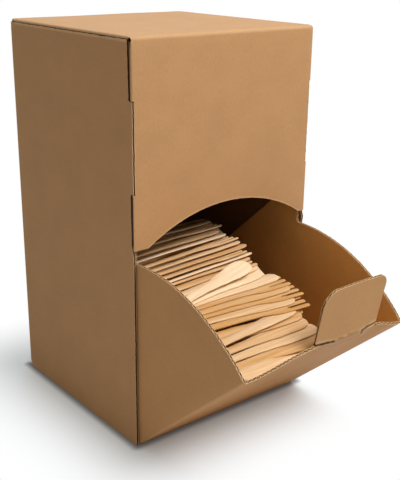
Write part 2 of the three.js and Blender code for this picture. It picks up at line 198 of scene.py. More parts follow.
# %% [markdown]
# Three small jobs come back for every piece. All its faces must look outwards, each point has to
# remember something for the shaders, and the mesh goes into the scene as a piece of its own.
# %% What every mesh needs
def turn_faces_out(mesh):
    work = bmesh.new()
    work.from_mesh(mesh)
    bmesh.ops.recalc_face_normals(work, faces=work.faces)
    work.to_mesh(mesh)
    work.free()


def keep_on_points(mesh, label, values):
    """Writes a place or a number on every point of a mesh."""
    values = np.asarray(values, np.float32)
    kind, field = ("FLOAT_VECTOR", "vector") if values.ndim == 2 else ("FLOAT", "value")
    mesh.attributes.new(label, kind, "POINT").data.foreach_set(field, values.ravel())


def link_piece(mesh):
    piece = bpy.data.objects.new(mesh.name, mesh)
    bpy.context.scene.collection.objects.link(piece)
    return piece


print("mesh helpers ready, with", len(bpy.data.meshes), "meshes in the file so far")

# %% [markdown]
# A slab turns an outline into a closed body. The two faces are filled with triangles,
# and the rim between them is a stack of rings, each at its own depth and set back a little.
# Card gets a groove in its rim, where the middle layer is, and wood gets rounded arrises.
# Every point also keeps its place on the flat sheet, so that fibres and grain follow the folds.
# %% Building a slab
def slab(name, outline, dots, place, levels, bands, wear_and_painted_light=None, ribbon=None, seed=0.0):
    """A closed mesh from a flat outline. levels is a list of (depth, set-back) from face to face."""
    count = len(outline)
    normals = inward_normals(outline)
    flat = [Vector((u, v)) for u, v, *_ in outline] + [Vector(d) for d in dots]
    out, _, faces, origin, _, _ = delaunay_2d_cdt(flat, [], [list(range(count))], 1, 1e-5)
    rim_of = {}
    for k, sources in enumerate(origin):
        for s in sources:
            if s < count:
                rim_of[s] = k
    used = sorted({k for face in faces for k in face})
    points, sheet, tris, slots = [], [], [], []

    def add(u, v, depth):
        points.append(place(u, v, depth))
        sheet.append((u + seed, v, depth))
        return len(points) - 1

    def set_back(i, amount):
        u, v, raw = outline[i]
        amount = amount if raw else 0
        return u + float(normals[i][0]) * amount, v + float(normals[i][1]) * amount

    skins = []
    for depth, back in (levels[0], levels[-1]):
        at = {k: out[k] for k in used}
        for i, k in rim_of.items():
            at[k] = set_back(i, back)
        skins.append({k: add(at[k][0], at[k][1], depth) for k in used})
    for face in faces:
        tris.append([skins[0][k] for k in face])
        tris.append([skins[1][k] for k in reversed(face)])
        slots += [0, 0]
    rings = [[skins[0][rim_of[i]] for i in range(count)]]
    for depth, back in levels[1:-1]:
        rings.append([add(*set_back(i, back), depth) for i in range(count)])
    rings.append([skins[1][rim_of[i]] for i in range(count)])
    for band, (upper, lower) in zip(bands, zip(rings, rings[1:])):
        for i in range(count):
            j = (i + 1) % count
            tris.append([upper[i], upper[j], lower[j], lower[i]])
            slots.append(band)
    if ribbon:
        ribbon(outline, normals, add, tris, slots)
    mesh = bpy.data.meshes.new(name)
    mesh.from_pydata(points, [], tris)
    mesh.polygons.foreach_set("material_index", slots)
    keep_on_points(mesh, "sheet", sheet)
    keep_on_points(mesh, "wear_and_painted_light", [wear_and_painted_light(u - seed, v) if wear_and_painted_light else 0 for u, v, _ in sheet])
    return mesh


def finish_mesh(mesh, materials, angle=32):
    """Faces out, smooth across gentle bends, sharp at cuts, and linked to the scene."""
    turn_faces_out(mesh)
    mesh.shade_smooth()
    mesh.set_sharp_from_angle(angle=radians(angle))
    for material in materials:
        mesh.materials.append(material)
    return link_piece(mesh)


print("slab ready: two skins joined by a rim of rings")

# %% [markdown]
# Shaders are built from nodes. A few small helpers keep the wiring readable: the first makes
# a node and connects or sets its inputs, and the others are the sums that come back most.
# %% Node helpers
def add_node(tree, kind, inputs=None, **settings):
    made = tree.nodes.new(kind)
    for key, value in settings.items():
        setattr(made, key, value)
    for key, value in (inputs or {}).items():
        if isinstance(value, bpy.types.NodeSocket):
            tree.links.new(value, made.inputs[key])
        else:
            made.inputs[key].default_value = value
    return made



def calculate(tree, operation, first, second=0.0, third=0.0):
    return add_node(tree, "ShaderNodeMath", {0: first, 1: second, 2: third}, operation=operation).outputs[0]

def calculate_vector(tree, operation, first, second=(0.0, 0.0, 0.0)):
    return add_node(tree, "ShaderNodeVectorMath", {0: first, 1: second}, operation=operation).outputs[0]


def hold(tree, value):
    """Keeps a value between 0 and 1."""
    return add_node(tree, "ShaderNodeClamp", {0: value}).outputs[0]


def map_range(tree, value, low, high, at_low=0.0, at_high=1.0, ease="LINEAR"):
    inputs = {0: value, 1: low, 2: high, 3: at_low, 4: at_high}
    return add_node(tree, "ShaderNodeMapRange", inputs, interpolation_type=ease).outputs[0]


def add_noise(tree, place, scale, detail, roughness=0.5):
    inputs = {"Vector": place, "Scale": scale, "Detail": detail, "Roughness": roughness}
    return add_node(tree, "ShaderNodeTexNoise", inputs).outputs[0]


def blend_colours(tree, share, first, second, kind="MIX"):
    made = add_node(tree, "ShaderNodeMix", {0: share, 6: first, 7: second}, data_type="RGBA", blend_type=kind)
    return made.outputs[2]



def new_group(name, inputs, outputs):
    """An empty node group with named sockets, its input node and its output node."""
    group = bpy.data.node_groups.new(name, "ShaderNodeTree")
    for socket, kind, value in inputs:
        made = group.interface.new_socket(socket, in_out="INPUT", socket_type=kind)
        if value is not None:
            made.default_value = value
    for socket, kind in outputs:
        group.interface.new_socket(socket, in_out="OUTPUT", socket_type=kind)
    return group, group.nodes.new("NodeGroupInput").outputs, group.nodes.new("NodeGroupOutput").inputs


print("node helpers ready, with", len(bpy.data.node_groups), "shader groups so far")

# %% [markdown]
# Kraft paper is brown because its fibres are never bleached. Close up it has short fibres
# that lie mostly along the sheet, a soft mottling, and small dark and pale flecks.
# The flutes inside press faint lines through the liner. This group paints all of that
# from the place on the flat sheet, so the pattern runs over each fold as paper does.
# Wear above nothing rubs the paper pale; a value below nothing lays painted shade on it, for slots and
# creases.
# %% Shader group: kraft paper
FLUTE_PITCH = 6.6
FIBRE_STRETCH = (0.75, 0.16, 0.75)
INNER_FACE_FROM = 2.0
FLECK = (0.2, 0.1, 0.04, 1)
# The colour of the painted shade laid in slots and creases.
PAINTED_SHADE_COLOUR = (0.03, 0.012, 0.004, 1)


def build_kraft_group():
    group, given, result = new_group(
        "kraft_paper",
        [("Sheet", "NodeSocketVector", None), ("Wear And Painted Light", "NodeSocketFloat", 0.0),
         ("Paper", "NodeSocketColor", (0.5, 0.3, 0.15, 1)),
         ("Worn And Lit Paper", "NodeSocketColor", (0.7, 0.5, 0.3, 1)),
         ("Inner Paper With Painted Light", "NodeSocketColor", (0.3, 0.15, 0.05, 1)),
         ("Mottle", "NodeSocketFloat", 0.1), ("Flute Show", "NodeSocketFloat", 0.03)],
        [("Color", "NodeSocketColor"), ("Height", "NodeSocketFloat")],
    )
    sheet, wear_and_painted_light, worn_and_lit_paper = given["Sheet"], given["Wear And Painted Light"], given["Worn And Lit Paper"]
    stretched = calculate_vector(group, "MULTIPLY", sheet, FIBRE_STRETCH)
    fibres = add_noise(group, stretched, scale=1.3, detail=5, roughness=0.7)
    clouds = add_noise(group, sheet, scale=0.022, detail=4, roughness=0.6)
    specks = add_noise(group, sheet, scale=0.55, detail=2)
    along, _, depth = add_node(group, "ShaderNodeSeparateXYZ", {0: sheet}).outputs
    wave = calculate(group, "SINE", calculate(group, "MULTIPLY", along, 2 * pi / FLUTE_PITCH))
    lines = calculate(group, "MULTIPLY", wave, given["Flute Show"])
    tone = calculate(group, "MULTIPLY", calculate(group, "SUBTRACT", clouds, 0.5), given["Mottle"])
    fine = calculate(group, "MULTIPLY", calculate(group, "SUBTRACT", fibres, 0.5), 0.42)
    shade = calculate(group, "ADD", calculate(group, "ADD", tone, fine), calculate(group, "ADD", lines, 1.0))
    grey = add_node(group, "ShaderNodeCombineColor", {0: shade, 1: shade, 2: shade}).outputs[0]
    # Faces past the board's middle take the inner colour, painted light and shade for the inside.
    inner = calculate(group, "GREATER_THAN", depth, INNER_FACE_FROM)
    paper = blend_colours(group, inner, given["Paper"], given["Inner Paper With Painted Light"])
    paper = blend_colours(group, 1.0, paper, grey, "MULTIPLY")
    paper = blend_colours(group, map_range(group, specks, 0.69, 0.78, 0.0, 0.3), paper, FLECK)
    paper = blend_colours(group, map_range(group, specks, 0.3, 0.2, 0.0, 0.2), paper, worn_and_lit_paper)
    # Wear above nothing rubs the paper pale; on the walls' top edges and beside the creases that pale is
    # painted light.
    patchy = calculate(group, "MULTIPLY", wear_and_painted_light, calculate(group, "MULTIPLY_ADD", fibres, 1.4, 0.2))
    paper = blend_colours(group, hold(group, patchy), paper, worn_and_lit_paper)
    # Wear below nothing paints shade into the colour: the dark slots beside the walls and the creases.
    painted_shade = hold(group, calculate(group, "MULTIPLY", wear_and_painted_light, -1.0))
    paper = blend_colours(group, painted_shade, paper, PAINTED_SHADE_COLOUR)
    group.links.new(paper, result["Color"])
    group.links.new(calculate(group, "MULTIPLY_ADD", wave, 0.12, fibres), result["Height"])
    return group


kraft_group = build_kraft_group()
print("group", kraft_group.name, "with", len(kraft_group.nodes), "nodes")

# %% [markdown]
# Cheap birch cutlery is rotary cut and left unfinished, so its grain is long, soft and pale,
# with a few darker streaks and tiny pores. Each piece has its own tone, as pieces do that come
# from different sheets of veneer, and that tone also carries painted light and shade by its place.
# %% Shader group: birch grain
LONG_GRAIN = (0.011, 0.32, 0.32)
FINE_GRAIN = (0.05, 2.4, 2.4)


def build_birch_group():
    group, given, result = new_group(
        "birch_grain",
        [("Sheet", "NodeSocketVector", None), ("Tone And Painted Light", "NodeSocketFloat", 0.5),
         ("Pale", "NodeSocketColor", (0.8, 0.6, 0.4, 1)), ("Deep", "NodeSocketColor", (0.6, 0.4, 0.2, 1))],
        [("Color", "NodeSocketColor"), ("Height", "NodeSocketFloat")],
    )
    long = calculate_vector(group, "MULTIPLY", given["Sheet"], LONG_GRAIN)
    bands = add_noise(group, long, scale=1.0, detail=6, roughness=0.62)
    thin = calculate_vector(group, "MULTIPLY", given["Sheet"], FINE_GRAIN)
    pores = add_noise(group, thin, scale=1.0, detail=3)
    streak = map_range(group, bands, 0.36, 0.66)
    pore = map_range(group, pores, 0.56, 0.74, 0.0, 0.35)
    share = calculate(group, "MULTIPLY_ADD", streak, 0.36, calculate(group, "MULTIPLY", given["Tone And Painted Light"], 0.8))
    colour = blend_colours(group, hold(group, share), given["Pale"], given["Deep"])
    colour = blend_colours(group, pore, colour, given["Deep"])
    group.links.new(colour, result["Color"])
    group.links.new(calculate(group, "SUBTRACT", bands, pore), result["Height"])
    return group


birch_group = build_birch_group()
print("group", birch_group.name, "with", len(birch_group.nodes), "nodes")

# %% [markdown]
# A group gives colour and height, while the shader, its roughness and its bump stay in the
# material itself. The mesh carries two notes for it: the place on the flat sheet, and wear
# with painted light and shade.
# %% A material round a group
def grouped_material(name, group, wear_and_light_socket, values, roughness, specular, bump, bump_depth):
    material = bpy.data.materials.new(name)
    material.use_nodes = True
    tree = material.node_tree
    shader = tree.nodes["Principled BSDF"]
    shader.inputs["Roughness"].default_value = roughness
    shader.inputs["Specular IOR Level"].default_value = specular
    painted = add_node(tree, "ShaderNodeGroup")
    painted.node_tree = group
    for note, output, socket in (("sheet", "Vector", "Sheet"), ("wear_and_painted_light", "Fac", wear_and_light_socket)):
        read = add_node(tree, "ShaderNodeAttribute", attribute_name=note)
        tree.links.new(read.outputs[output], painted.inputs[socket])
    for socket, value in values.items():
        painted.inputs[socket].default_value = value
    height = {"Height": painted.outputs["Height"], "Strength": bump, "Distance": bump_depth}
    relief = add_node(tree, "ShaderNodeBump", height)
    tree.links.new(painted.outputs["Color"], shader.inputs["Base Color"])
    tree.links.new(relief.outputs[0], shader.inputs["Normal"])
    return material


print("the groups have", len(kraft_group.interface.items_tree), "and",
      len(birch_group.interface.items_tree), "sockets")

# %% [markdown]
# Each paper is its own material. The outside of the carton, the tray and the hand tab differ a
# little; the tray's is a little lighter, partly its own tone and partly painted light. The inner faces
# carry painted light and shade: the carton's is painted dark as shade where no light reaches, and the
# tray's is painted much paler as light bounced round inside it. The raw edge needs three more finishes:
# the cut liner, the hollow between the liners, painted dark as shade, and the wavy middle paper.
# The side walls' middle paper is painted the same dark shade, as their raw edges lie in the slots.
# %% Papers
PAPER = (0.485, 0.265, 0.118, 1)
# The carton's inner faces are painted dark as shade; the tray's inner faces are painted pale as bounced
# light.
INNER_PAPER_SHADED = (0.24, 0.11, 0.035, 1)
TRAY_PAPER = (0.54, 0.28, 0.115, 1)
TRAY_INNER_PAPER_LIT = (0.77, 0.41, 0.125, 1)
TAB_PAPER = (0.485, 0.262, 0.11, 1)
WORN_AND_LIT_PAPER = (0.66, 0.42, 0.225, 1)
LINER_PAPER = (0.78, 0.54, 0.31, 1)
# The hollow between the liners is painted dark as shade.
HOLLOW_SHADE, WORN_HOLLOW = (0.13, 0.06, 0.02, 1), (0.3, 0.16, 0.07, 1)
MIDDLE_PAPER = (0.62, 0.38, 0.19, 1)
FLUTE_SHOW = 0.004
PAPER_SHINE = 0.2


def paper_material(name, paper, worn=WORN_AND_LIT_PAPER, inner=None, mottle=0.22, roughness=0.62, bump=0.1):
    values = {"Paper": paper, "Worn And Lit Paper": worn, "Inner Paper With Painted Light": inner or paper,
              "Mottle": mottle, "Flute Show": FLUTE_SHOW}
    return grouped_material(name, kraft_group, "Wear And Painted Light", values, roughness, PAPER_SHINE, bump, 0.6 * MM)


kraft_outside = paper_material("kraft_liner", PAPER, inner=INNER_PAPER_SHADED)
kraft_tray = paper_material("kraft_tray", TRAY_PAPER, inner=TRAY_INNER_PAPER_LIT)
kraft_tab = paper_material("kraft_hand_tab", TAB_PAPER)
cut_liner = paper_material("cut_liner", LINER_PAPER, mottle=0.5, bump=0.3, roughness=0.8)
core_hollow_shade = paper_material("core_hollow_shade", HOLLOW_SHADE, WORN_HOLLOW, roughness=0.9)
flute_paper = paper_material("flute_paper", MIDDLE_PAPER, mottle=0.4, roughness=0.85)
CARD = [kraft_outside, cut_liner, core_hollow_shade, flute_paper]
# The side walls' middle paper takes the hollow's colour too: painted shade for the slots.
WALL_CARD_SHADED_EDGE = [kraft_outside, cut_liner, core_hollow_shade, core_hollow_shade]
TRAY_CARD = [kraft_tray, cut_liner, core_hollow_shade, flute_paper]
TAB_CARD = [kraft_tab, cut_liner, core_hollow_shade, flute_paper]
print("card materials:", [m.name for m in CARD])

# %% [markdown]
# The cut edge of corrugated board shows two thin liners with a wave of paper between them.
# Where the cut runs across the flutes the wave shows in full; where it runs along them
# only one wall of a flute shows, slightly crushed. The ribbon below follows that rule.
# %% The wavy middle layer
BOARD = 3.0
LINER = 0.42
GROOVE = 1.6
RIBBON_HALF = 0.28
CARD_LEVELS = [(0, 0), (LINER, 0), (LINER + 0.06, GROOVE),
               (BOARD - LINER - 0.06, GROOVE), (BOARD - LINER, 0), (BOARD, 0)]
# The groove's faces take the hollow colour, which is painted shade.
LINER_SLOT, HOLLOW_SHADE_SLOT, FLUTE_SLOT = 1, 2, 3
CARD_BANDS = [LINER_SLOT, HOLLOW_SHADE_SLOT, HOLLOW_SHADE_SLOT, HOLLOW_SHADE_SLOT, LINER_SLOT]


def flute_ribbon(outline, normals, add, tris, slots):
    """Lays a thin wavy ribbon in the groove along each raw stretch of an outline."""
    reach = BOARD / 2 - LINER - RIBBON_HALF - 0.08
    count = len(outline)
    previous = None
    for i in range(count + 1):
        u, v, raw = outline[i % count]
        if not raw:
            previous = None
            continue
        crushed = noise.noise(Vector((u * 0.3, v * 0.11, 4.0))) * 0.5
        middle = BOARD / 2 + reach * max(-1, min(1, sin(2 * pi * u / FLUTE_PITCH) + crushed))
        nu, nv = normals[i % count]
        front = (u + nu * 0.15, v + nv * 0.15)
        back = (u + nu * GROOVE, v + nv * GROOVE)
        row = [add(*front, middle - RIBBON_HALF), add(*front, middle + RIBBON_HALF),
               add(*back, middle + RIBBON_HALF), add(*back, middle - RIBBON_HALF)]
        if previous:
            for k in range(4):
                m = (k + 1) % 4
                tris.append([previous[k], row[k], row[m], previous[m]])
                slots.append(FLUTE_SLOT)
        previous = row


print("middle layer: a wave every", FLUTE_PITCH, "mm in", BOARD, "mm board")

# %% [markdown]
# A large triangle can't bend, so wherever a sheet folds or bows it gets rows of extra points.
# They are laid as a grid, and those outside the outline or too near its edge are dropped.
# %% Extra points inside an outline

def inside_dots(columns, rows, outline, margin):
    """Grid points that lie inside an outline and keep clear of its edge."""
    ring = np.array([(u, v) for u, v, *_ in outline])
    after = np.roll(ring, -1, axis=0)
    run = after - ring
    rise = np.where(np.abs(run[:, 1]) < 1e-12, 1e-12, run[:, 1])
    squared = np.maximum((run ** 2).sum(1), 1e-9)
    kept = []
    for u in columns:
        for v in rows:
            crosses = (ring[:, 1] > v) != (after[:, 1] > v)
            at = ring[:, 0] + run[:, 0] * (v - ring[:, 1]) / rise
            if np.count_nonzero(crosses & (u < at)) % 2 == 0:
                continue
            share = np.clip(((u - ring[:, 0]) * run[:, 0] + (v - ring[:, 1]) * run[:, 1]) / squared, 0, 1)
            away = np.hypot(ring[:, 0] + share * run[:, 0] - u, ring[:, 1] + share * run[:, 1] - v)
            if away.min() > margin:
                kept.append((u, v))
    return kept


def spread(start, end, step):
    """Even places from start to end, about a step apart."""
    count = max(1, int(round((end - start) / step)))
    return [start + (end - start) * i / count for i in range(count + 1)]


square_cut = [(0, 0), (50, 0), (50, 50), (0, 50)]
square_dots = inside_dots(spread(0, 50, 10), spread(0, 50, 10), square_cut, 2)
print("a square of 50 mm takes", len(square_dots), "dots at 10 mm")

# %% [markdown]
# Front, top, back and bottom are one long strip of board with three folds. The front and the top
# also fold down at their sides, where the tuck flaps start, and each such fold bulges a little
# before it turns in. The front panel ends in a wide arch, so that a hand can reach the tray.
# %% How the cover folds
HALF_WIDTH, HALF_DEPTH, HEIGHT = 135.0, 136.0, 488.0
FOLD = 5.0
BACK_FLAP_GAP = 3.5
STRIP = [line(HEIGHT - FOLD), arc(FOLD, 90), line(2 * (HALF_DEPTH - FOLD)), arc(FOLD, 90),
         line(HEIGHT - 2 * FOLD), arc(FOLD, 90), line(2 * HALF_DEPTH - FOLD - BACK_FLAP_GAP)]
STARTS = [sum(part[0] for part in STRIP[:i]) for i in range(len(STRIP) + 1)]
TOP_FROM, TOP_TO, STRIP_END = STARTS[2], STARTS[3], STARTS[7]
CROSS_FOLDS = (1, 3, 5)
BULGE = 2.4
SIDE_FOLD = [line(HALF_WIDTH - BULGE), arc(BULGE, 160), arc(-3.0, -70), line(1)]
FOLD_END = HALF_WIDTH - BULGE + SIDE_FOLD[1][0] + SIDE_FOLD[2][0]
COVER_SWELL, WALL_SWELL, SWELL_FINENESS = 0.35, 0.4, 0.012


def turn_in(u, depth):
    across, inward = bend(abs(u), depth, SIDE_FOLD)
    return (across if u >= 0 else -across), inward


def place_cover(u, s, depth):
    """From the flat cover (across u, along s) to its place on the carton."""
    x, inward = turn_in(u, depth)
    if abs(u) < HALF_WIDTH - FOLD:
        inward += COVER_SWELL * lumps(u, s, SWELL_FINENESS, 1.0)
    z, y = bend(s, inward, STRIP)
    return Vector((x, -HALF_DEPTH + y, z)) * MM


print("cover laid flat:", round(STRIP_END), "by", round(2 * FOLD_END), "mm")

# %% [markdown]
# The die cuts the arch at the strip's lower end. Each side edge is cut back between the tongue's
# two ends, where the side wall's own tongue comes through, and again at the top's rear corners.
# %% The cover's outline
FOOT = 252.0
TONGUE_FOOT, TONGUE_TOP = 318.0, 420.0
TONGUE_ROOM = 0.6
ARCH_CENTRE, ARCH_RADIUS = (5, 70), 218
ARCH_EDGE = 1.2


def mirrored(points):
    return [(-u, v) for u, v in reversed(points)]


cover_side = [
    (FOLD_END, FOOT), (FOLD_END, TONGUE_FOOT - TONGUE_ROOM), (131.8, TONGUE_FOOT - TONGUE_ROOM),
    (131.8, TONGUE_TOP + TONGUE_ROOM), (FOLD_END, TONGUE_TOP + TONGUE_ROOM), (FOLD_END, 479.5),
    (134.6, 483.0), (134.6, TOP_FROM), (FOLD_END, TOP_FROM + 3.5), (FOLD_END, TOP_TO - 4),
    (132.0, TOP_TO - 0.5), (HALF_WIDTH - FOLD, TOP_TO + 1.5), (HALF_WIDTH - FOLD, STRIP_END),
]
arch = sweep(ARCH_CENTRE, ARCH_RADIUS, 123.4, 56.6, 60)
cover_outline = (
    walk([(-FOLD_END, FOOT), arch[0]], 1.0) + walk(arch, 0.85) + walk([arch[-1], (FOLD_END, FOOT)], 1.0)
    + walk(cover_side, 3.0) + walk([cover_side[-1], mirrored(cover_side)[0]], 30, raw=False)
    + walk(mirrored(cover_side), 3.0)
)
cover_outline = ragged(cover_outline, 0.3, 2.0)
fold_columns = spread(HALF_WIDTH - BULGE, FOLD_END, 0.65)
both_folds = [-c for c in fold_columns] + fold_columns
cover_dots = inside_dots(both_folds, spread(FOOT, TOP_TO, 9), cover_outline, 0.7)
cover_dots += sweep(ARCH_CENTRE, ARCH_RADIUS + ARCH_EDGE, 122.9, 57.1, 110)
cover_dots += sweep(ARCH_CENTRE, ARCH_RADIUS + ARCH_EDGE + 1.0, 122.6, 57.4, 110)
for bend_at in CROSS_FOLDS:
    along_bend = spread(STARTS[bend_at], STARTS[bend_at + 1], 1.1)
    cover_dots += inside_dots(spread(-128, 128, 8), along_bend, cover_outline, 1.0)
FLAT_PARTS = [(300, 470, 20), (TOP_FROM + 15, TOP_TO - 15, 20), (STARTS[4] + 15, STARTS[5] - 15, 30)]
for low, high, step in FLAT_PARTS:
    cover_dots += inside_dots(spread(-124, 124, step), spread(low, high, step), cover_outline, 5)
print("cover:", len(cover_outline), "points round it and", len(cover_dots), "dots inside")

# %% [markdown]
# Handling rubs the folds pale. Where the board turns in behind a fold, at the front and at the top,
# it lies in the slot beside the wall and is painted dark there as shade. That painted shade starts
# further out where the tongue fills the slot.
# %% The carton's cover
SLOT_SHADE = -0.95
SIDE_CREST, SIDE_REACH = 135.2, 3.0
FOLD_CREST, FOLD_REACH = 3.9, 4.2
RUBBED_FOLD, RUBBED_ARCH = 0.5, 0.55


def shade_from(s):
    """How far out across the cover the painted shade of the slot starts."""
    if s > TOP_FROM:
        return 136.5
    if s > TONGUE_TOP:
        return 136.8
    return 138.4 if s >= TONGUE_FOOT else 135.1


def cover_wear_and_shade(u, s):
    if s >= TOP_TO:
        sides = 0
    # Past this line the colour is painted shade for the slot.
    elif abs(u) > shade_from(s):
        return SLOT_SHADE
    else:
        sides = max(0, 1 - abs(abs(u) - SIDE_CREST) / SIDE_REACH)
    folds = max(max(0, 1 - abs(s - (STARTS[k] + FOLD_CREST)) / FOLD_REACH) for k in CROSS_FOLDS)
    from_arch = hypot(u - ARCH_CENTRE[0], s - ARCH_CENTRE[1]) - ARCH_RADIUS
    return max(RUBBED_FOLD * sides, RUBBED_FOLD * folds, RUBBED_ARCH if from_arch < ARCH_EDGE + 0.1 else 0)


cover_mesh = slab("carton_cover", cover_outline, cover_dots, place_cover, CARD_LEVELS, CARD_BANDS,
                  cover_wear_and_shade, flute_ribbon)
cover = finish_mesh(cover_mesh, CARD)
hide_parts("carton")
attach(cover, "carton")
print("cover:", len(cover.data.polygons), "faces")

# %% [markdown]
# The side walls stand just behind the front folds. Their front edges are raw: a narrow slot
# at the top, a tongue that comes through flush with the front, and a second slot below it.
# The right wall's tongue is tucked back a little, so it stays behind the front's edge.
# %% The side walls' outline
WALL = [line(2 * HALF_DEPTH - FOLD), arc(FOLD, 90), line(1)]
WALL_END = HALF_DEPTH - FOLD + WALL[1][0]
WALL_FOOT, WALL_TOP = 0.4, 484.2
SLOT_CORNER = 2.4
LEFT_TONGUE, RIGHT_TONGUE = -136.0, -133.6
wall_front = (
    [(-127.6, WALL_TOP), (-129.0, 424.0)] + sweep((-131.0, 422.6), SLOT_CORNER, 20, -75, 5)
    + [(-135.9, TONGUE_TOP - 0.4), (LEFT_TONGUE, TONGUE_FOOT + 0.4)]
    + sweep((-132.6, 315.4), SLOT_CORNER, 75, -20, 5)
    + [(-131.4, 258.0), (-133.2, 250.0), (-134.9, 244.0), (-135.0, WALL_FOOT)]
)
wall_outline = (
    walk([(-135.0, WALL_FOOT), (WALL_END, WALL_FOOT)], 12, raw=False)
    + walk([(WALL_END, WALL_FOOT), (WALL_END, WALL_TOP)], 12, raw=False)
    + walk([(WALL_END, WALL_TOP), (-127.6, WALL_TOP)], 1.6) + walk(wall_front, 1.6)
)
back_fold = spread(HALF_DEPTH - FOLD, WALL_END, 1.1)[:-1]
wall_dots = inside_dots(back_fold, spread(8, 474, 9), ragged(wall_outline, 0, 0), 1.0)
wall_dots += inside_dots(spread(-115, 120, 24), spread(15, 465, 24), wall_outline, 5)
wall_dots += inside_dots(spread(-124, 126, 5), [WALL_TOP - 3.4, WALL_TOP - 2.0], wall_outline, 1.0)
print("side wall:", len(wall_outline), "points round it and", len(wall_dots), "dots inside")

# %% [markdown]
# Both walls come from one outline. Each swells and frays in its own way, and a pale band is painted
# along the top edge under the cover as a highlight, a thin light line over the gap.
# %% The carton's side walls
def place_wall(side, swell):
    def place(y, z, depth):
        along, inward = bend(y + HALF_DEPTH, depth, WALL)
        if y < HALF_DEPTH - FOLD - 4:
            inward += WALL_SWELL * lumps(y, z, SWELL_FINENESS, swell)
        return Vector((side * (HALF_WIDTH - inward), along - HALF_DEPTH, z)) * MM
    return place


def wall_wear_and_highlight(y, z):
    # A highlight painted along the top edge, under the cover.
    top_edge_highlight = 0.8 if z > WALL_TOP - 2.6 else 0
    return 0.45 * max(0, 1 - abs(y - 135) / 4) + 0.12 * max(0, 1 - abs(z - 2) / 5) + top_edge_highlight


def tucked(point, tongue):
    """Keeps a point of the front edge above the lower slot from standing out past its line."""
    y, z, raw = point
    return (max(y, tongue) if z > TONGUE_FOOT - 6 else y, z, raw)


WALLS = [("carton_wall_left", -1, LEFT_TONGUE, 300.0), ("carton_wall_right", 1, RIGHT_TONGUE, 700.0)]
for name, side, tongue, seed in WALLS:
    cut = ragged([tucked(point, tongue) for point in wall_outline], 0.75, seed)
    wall_mesh = slab(name, cut, wall_dots, place_wall(side, seed), CARD_LEVELS, CARD_BANDS,
                     wall_wear_and_highlight, flute_ribbon, seed)
    wall = finish_mesh(wall_mesh, WALL_CARD_SHADED_EDGE)
    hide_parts("carton")
    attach(wall, "carton")
    print(name, len(wall.data.polygons), "faces")

# %% [markdown]
# Tuck flaps hold the carton square. They lie inside the side walls and show only behind each slot,
# where their colour is the cover's painted slot shade, so they are cut plain, with the same fold path as the
# cover.
# %% Tuck flaps
FRONT_TUCK = [(FOLD_END, 274.0), (FOLD_END + 34, 280.0), (FOLD_END + 34, 437.0), (FOLD_END, 443.0)]
TOP_TUCK = [(FOLD_END, TOP_FROM + 46), (FOLD_END + 30, TOP_FROM + 50),
            (FOLD_END + 30, TOP_TO - 16), (FOLD_END, TOP_TO - 10)]
for name, corners in (("tuck_front", FRONT_TUCK), ("tuck_top", TOP_TUCK)):
    for label, side in (("left", -1), ("right", 1)):
        ring = corners if side > 0 else mirrored(corners)
        tuck_mesh = slab(f"{name}_{label}", walk(ring + ring[:1], 3.0), [], place_cover,
                         CARD_LEVELS, CARD_BANDS, cover_wear_and_shade, flute_ribbon)
        tuck = finish_mesh(tuck_mesh, CARD)
        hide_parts("carton")
        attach(tuck, "carton")
print("tuck flaps: 4")

# %% [markdown]
# The tray is a front panel with a wing folded back from each side. It hinges where the panel
# meets the floor of the carton. Its sheet is drawn with the tray closed, and then tilted open.
# The panel bows inwards where its hand tab pulls it up, and a finger on the tab tips it out.
# %% How the tray folds and tilts
OPEN = radians(48.5)
HINGE_Y, HINGE_Z = -134.5, 1.5
HALF_BOARD = BOARD / 2
WING_OUT, WING_IN = 130.8, 127.8
WING_BEND, WING_LAP = 3.4, 1.9
WING_FOLD = [line(WING_OUT - WING_BEND), arc(WING_BEND, 90), line(1)]
WING_START = WING_OUT - WING_BEND + WING_FOLD[1][0] - WING_LAP
TAB_WIDTH, TAB_CENTRE, TAB_BASE = 100.0, 34.0, 235.5
PANEL_BOW = 8.0
WING_RIPPLE = 0.3


def bow_at(x, height):
    """How far the panel bows in at a place on it."""
    edge = TAB_WIDTH / 2
    away = max(0, abs(x - TAB_CENTRE) - edge)
    room = WING_IN - edge - (1 if x > TAB_CENTRE else -1) * TAB_CENTRE
    share = 0.5 + 0.5 * cos(pi * min(1, away / room))
    return PANEL_BOW * share * min(1, max(0, height) / TAB_BASE) ** 2


def tilt_open(x, back, height):
    """From the closed tray's own directions to its place as it stands open."""
    y = HINGE_Y + back * cos(OPEN) - height * sin(OPEN)
    z = HINGE_Z + back * sin(OPEN) + height * cos(OPEN)
    return Vector((x, y, z)) * MM


def place_tray(u, height, depth):
    across, inward = bend(abs(u), depth, WING_FOLD)
    x = across if u >= 0 else -across
    bow = bow_at(x, height) if abs(u) < WING_IN else 0
    ripple = WING_RIPPLE * lumps(u, height, 0.02, 9.0)
    sway = ripple if abs(u) > WING_START + 12 else 0
    return tilt_open(x - sway if u > 0 else x + sway, inward - HALF_BOARD + bow, height)


print("the tray's panel bows in by", round(bow_at(TAB_CENTRE, TAB_BASE), 1), "mm at the tab")

# %% [markdown]
# Each wing has a long edge that sweeps down from the panel's top, then a notch that clears the
# side wall, and a hook that stops the tray at the right angle. Notch and hook are cut square
# to the carton as the open tray meets it, so they are drawn that way and turned.
# %% The tray's wings
LEFT_REACH, RIGHT_REACH = 247.0, 234.0
NOTCH_REACH, HOOK_REACH, WING_DEPTH = 234.0, 262.0, 224.0
WING_FOOT = 2.4
NOTCH_AND_HOOK = [
    (0.6, NOTCH_REACH), (2.2, NOTCH_REACH + 0.5), (3.2, NOTCH_REACH + 2), (3.5, NOTCH_REACH + 4),
    (3.5, HOOK_REACH - 6), (4.6, HOOK_REACH - 3), (7, HOOK_REACH - 1.2), (9.5, HOOK_REACH - 0.6),
]


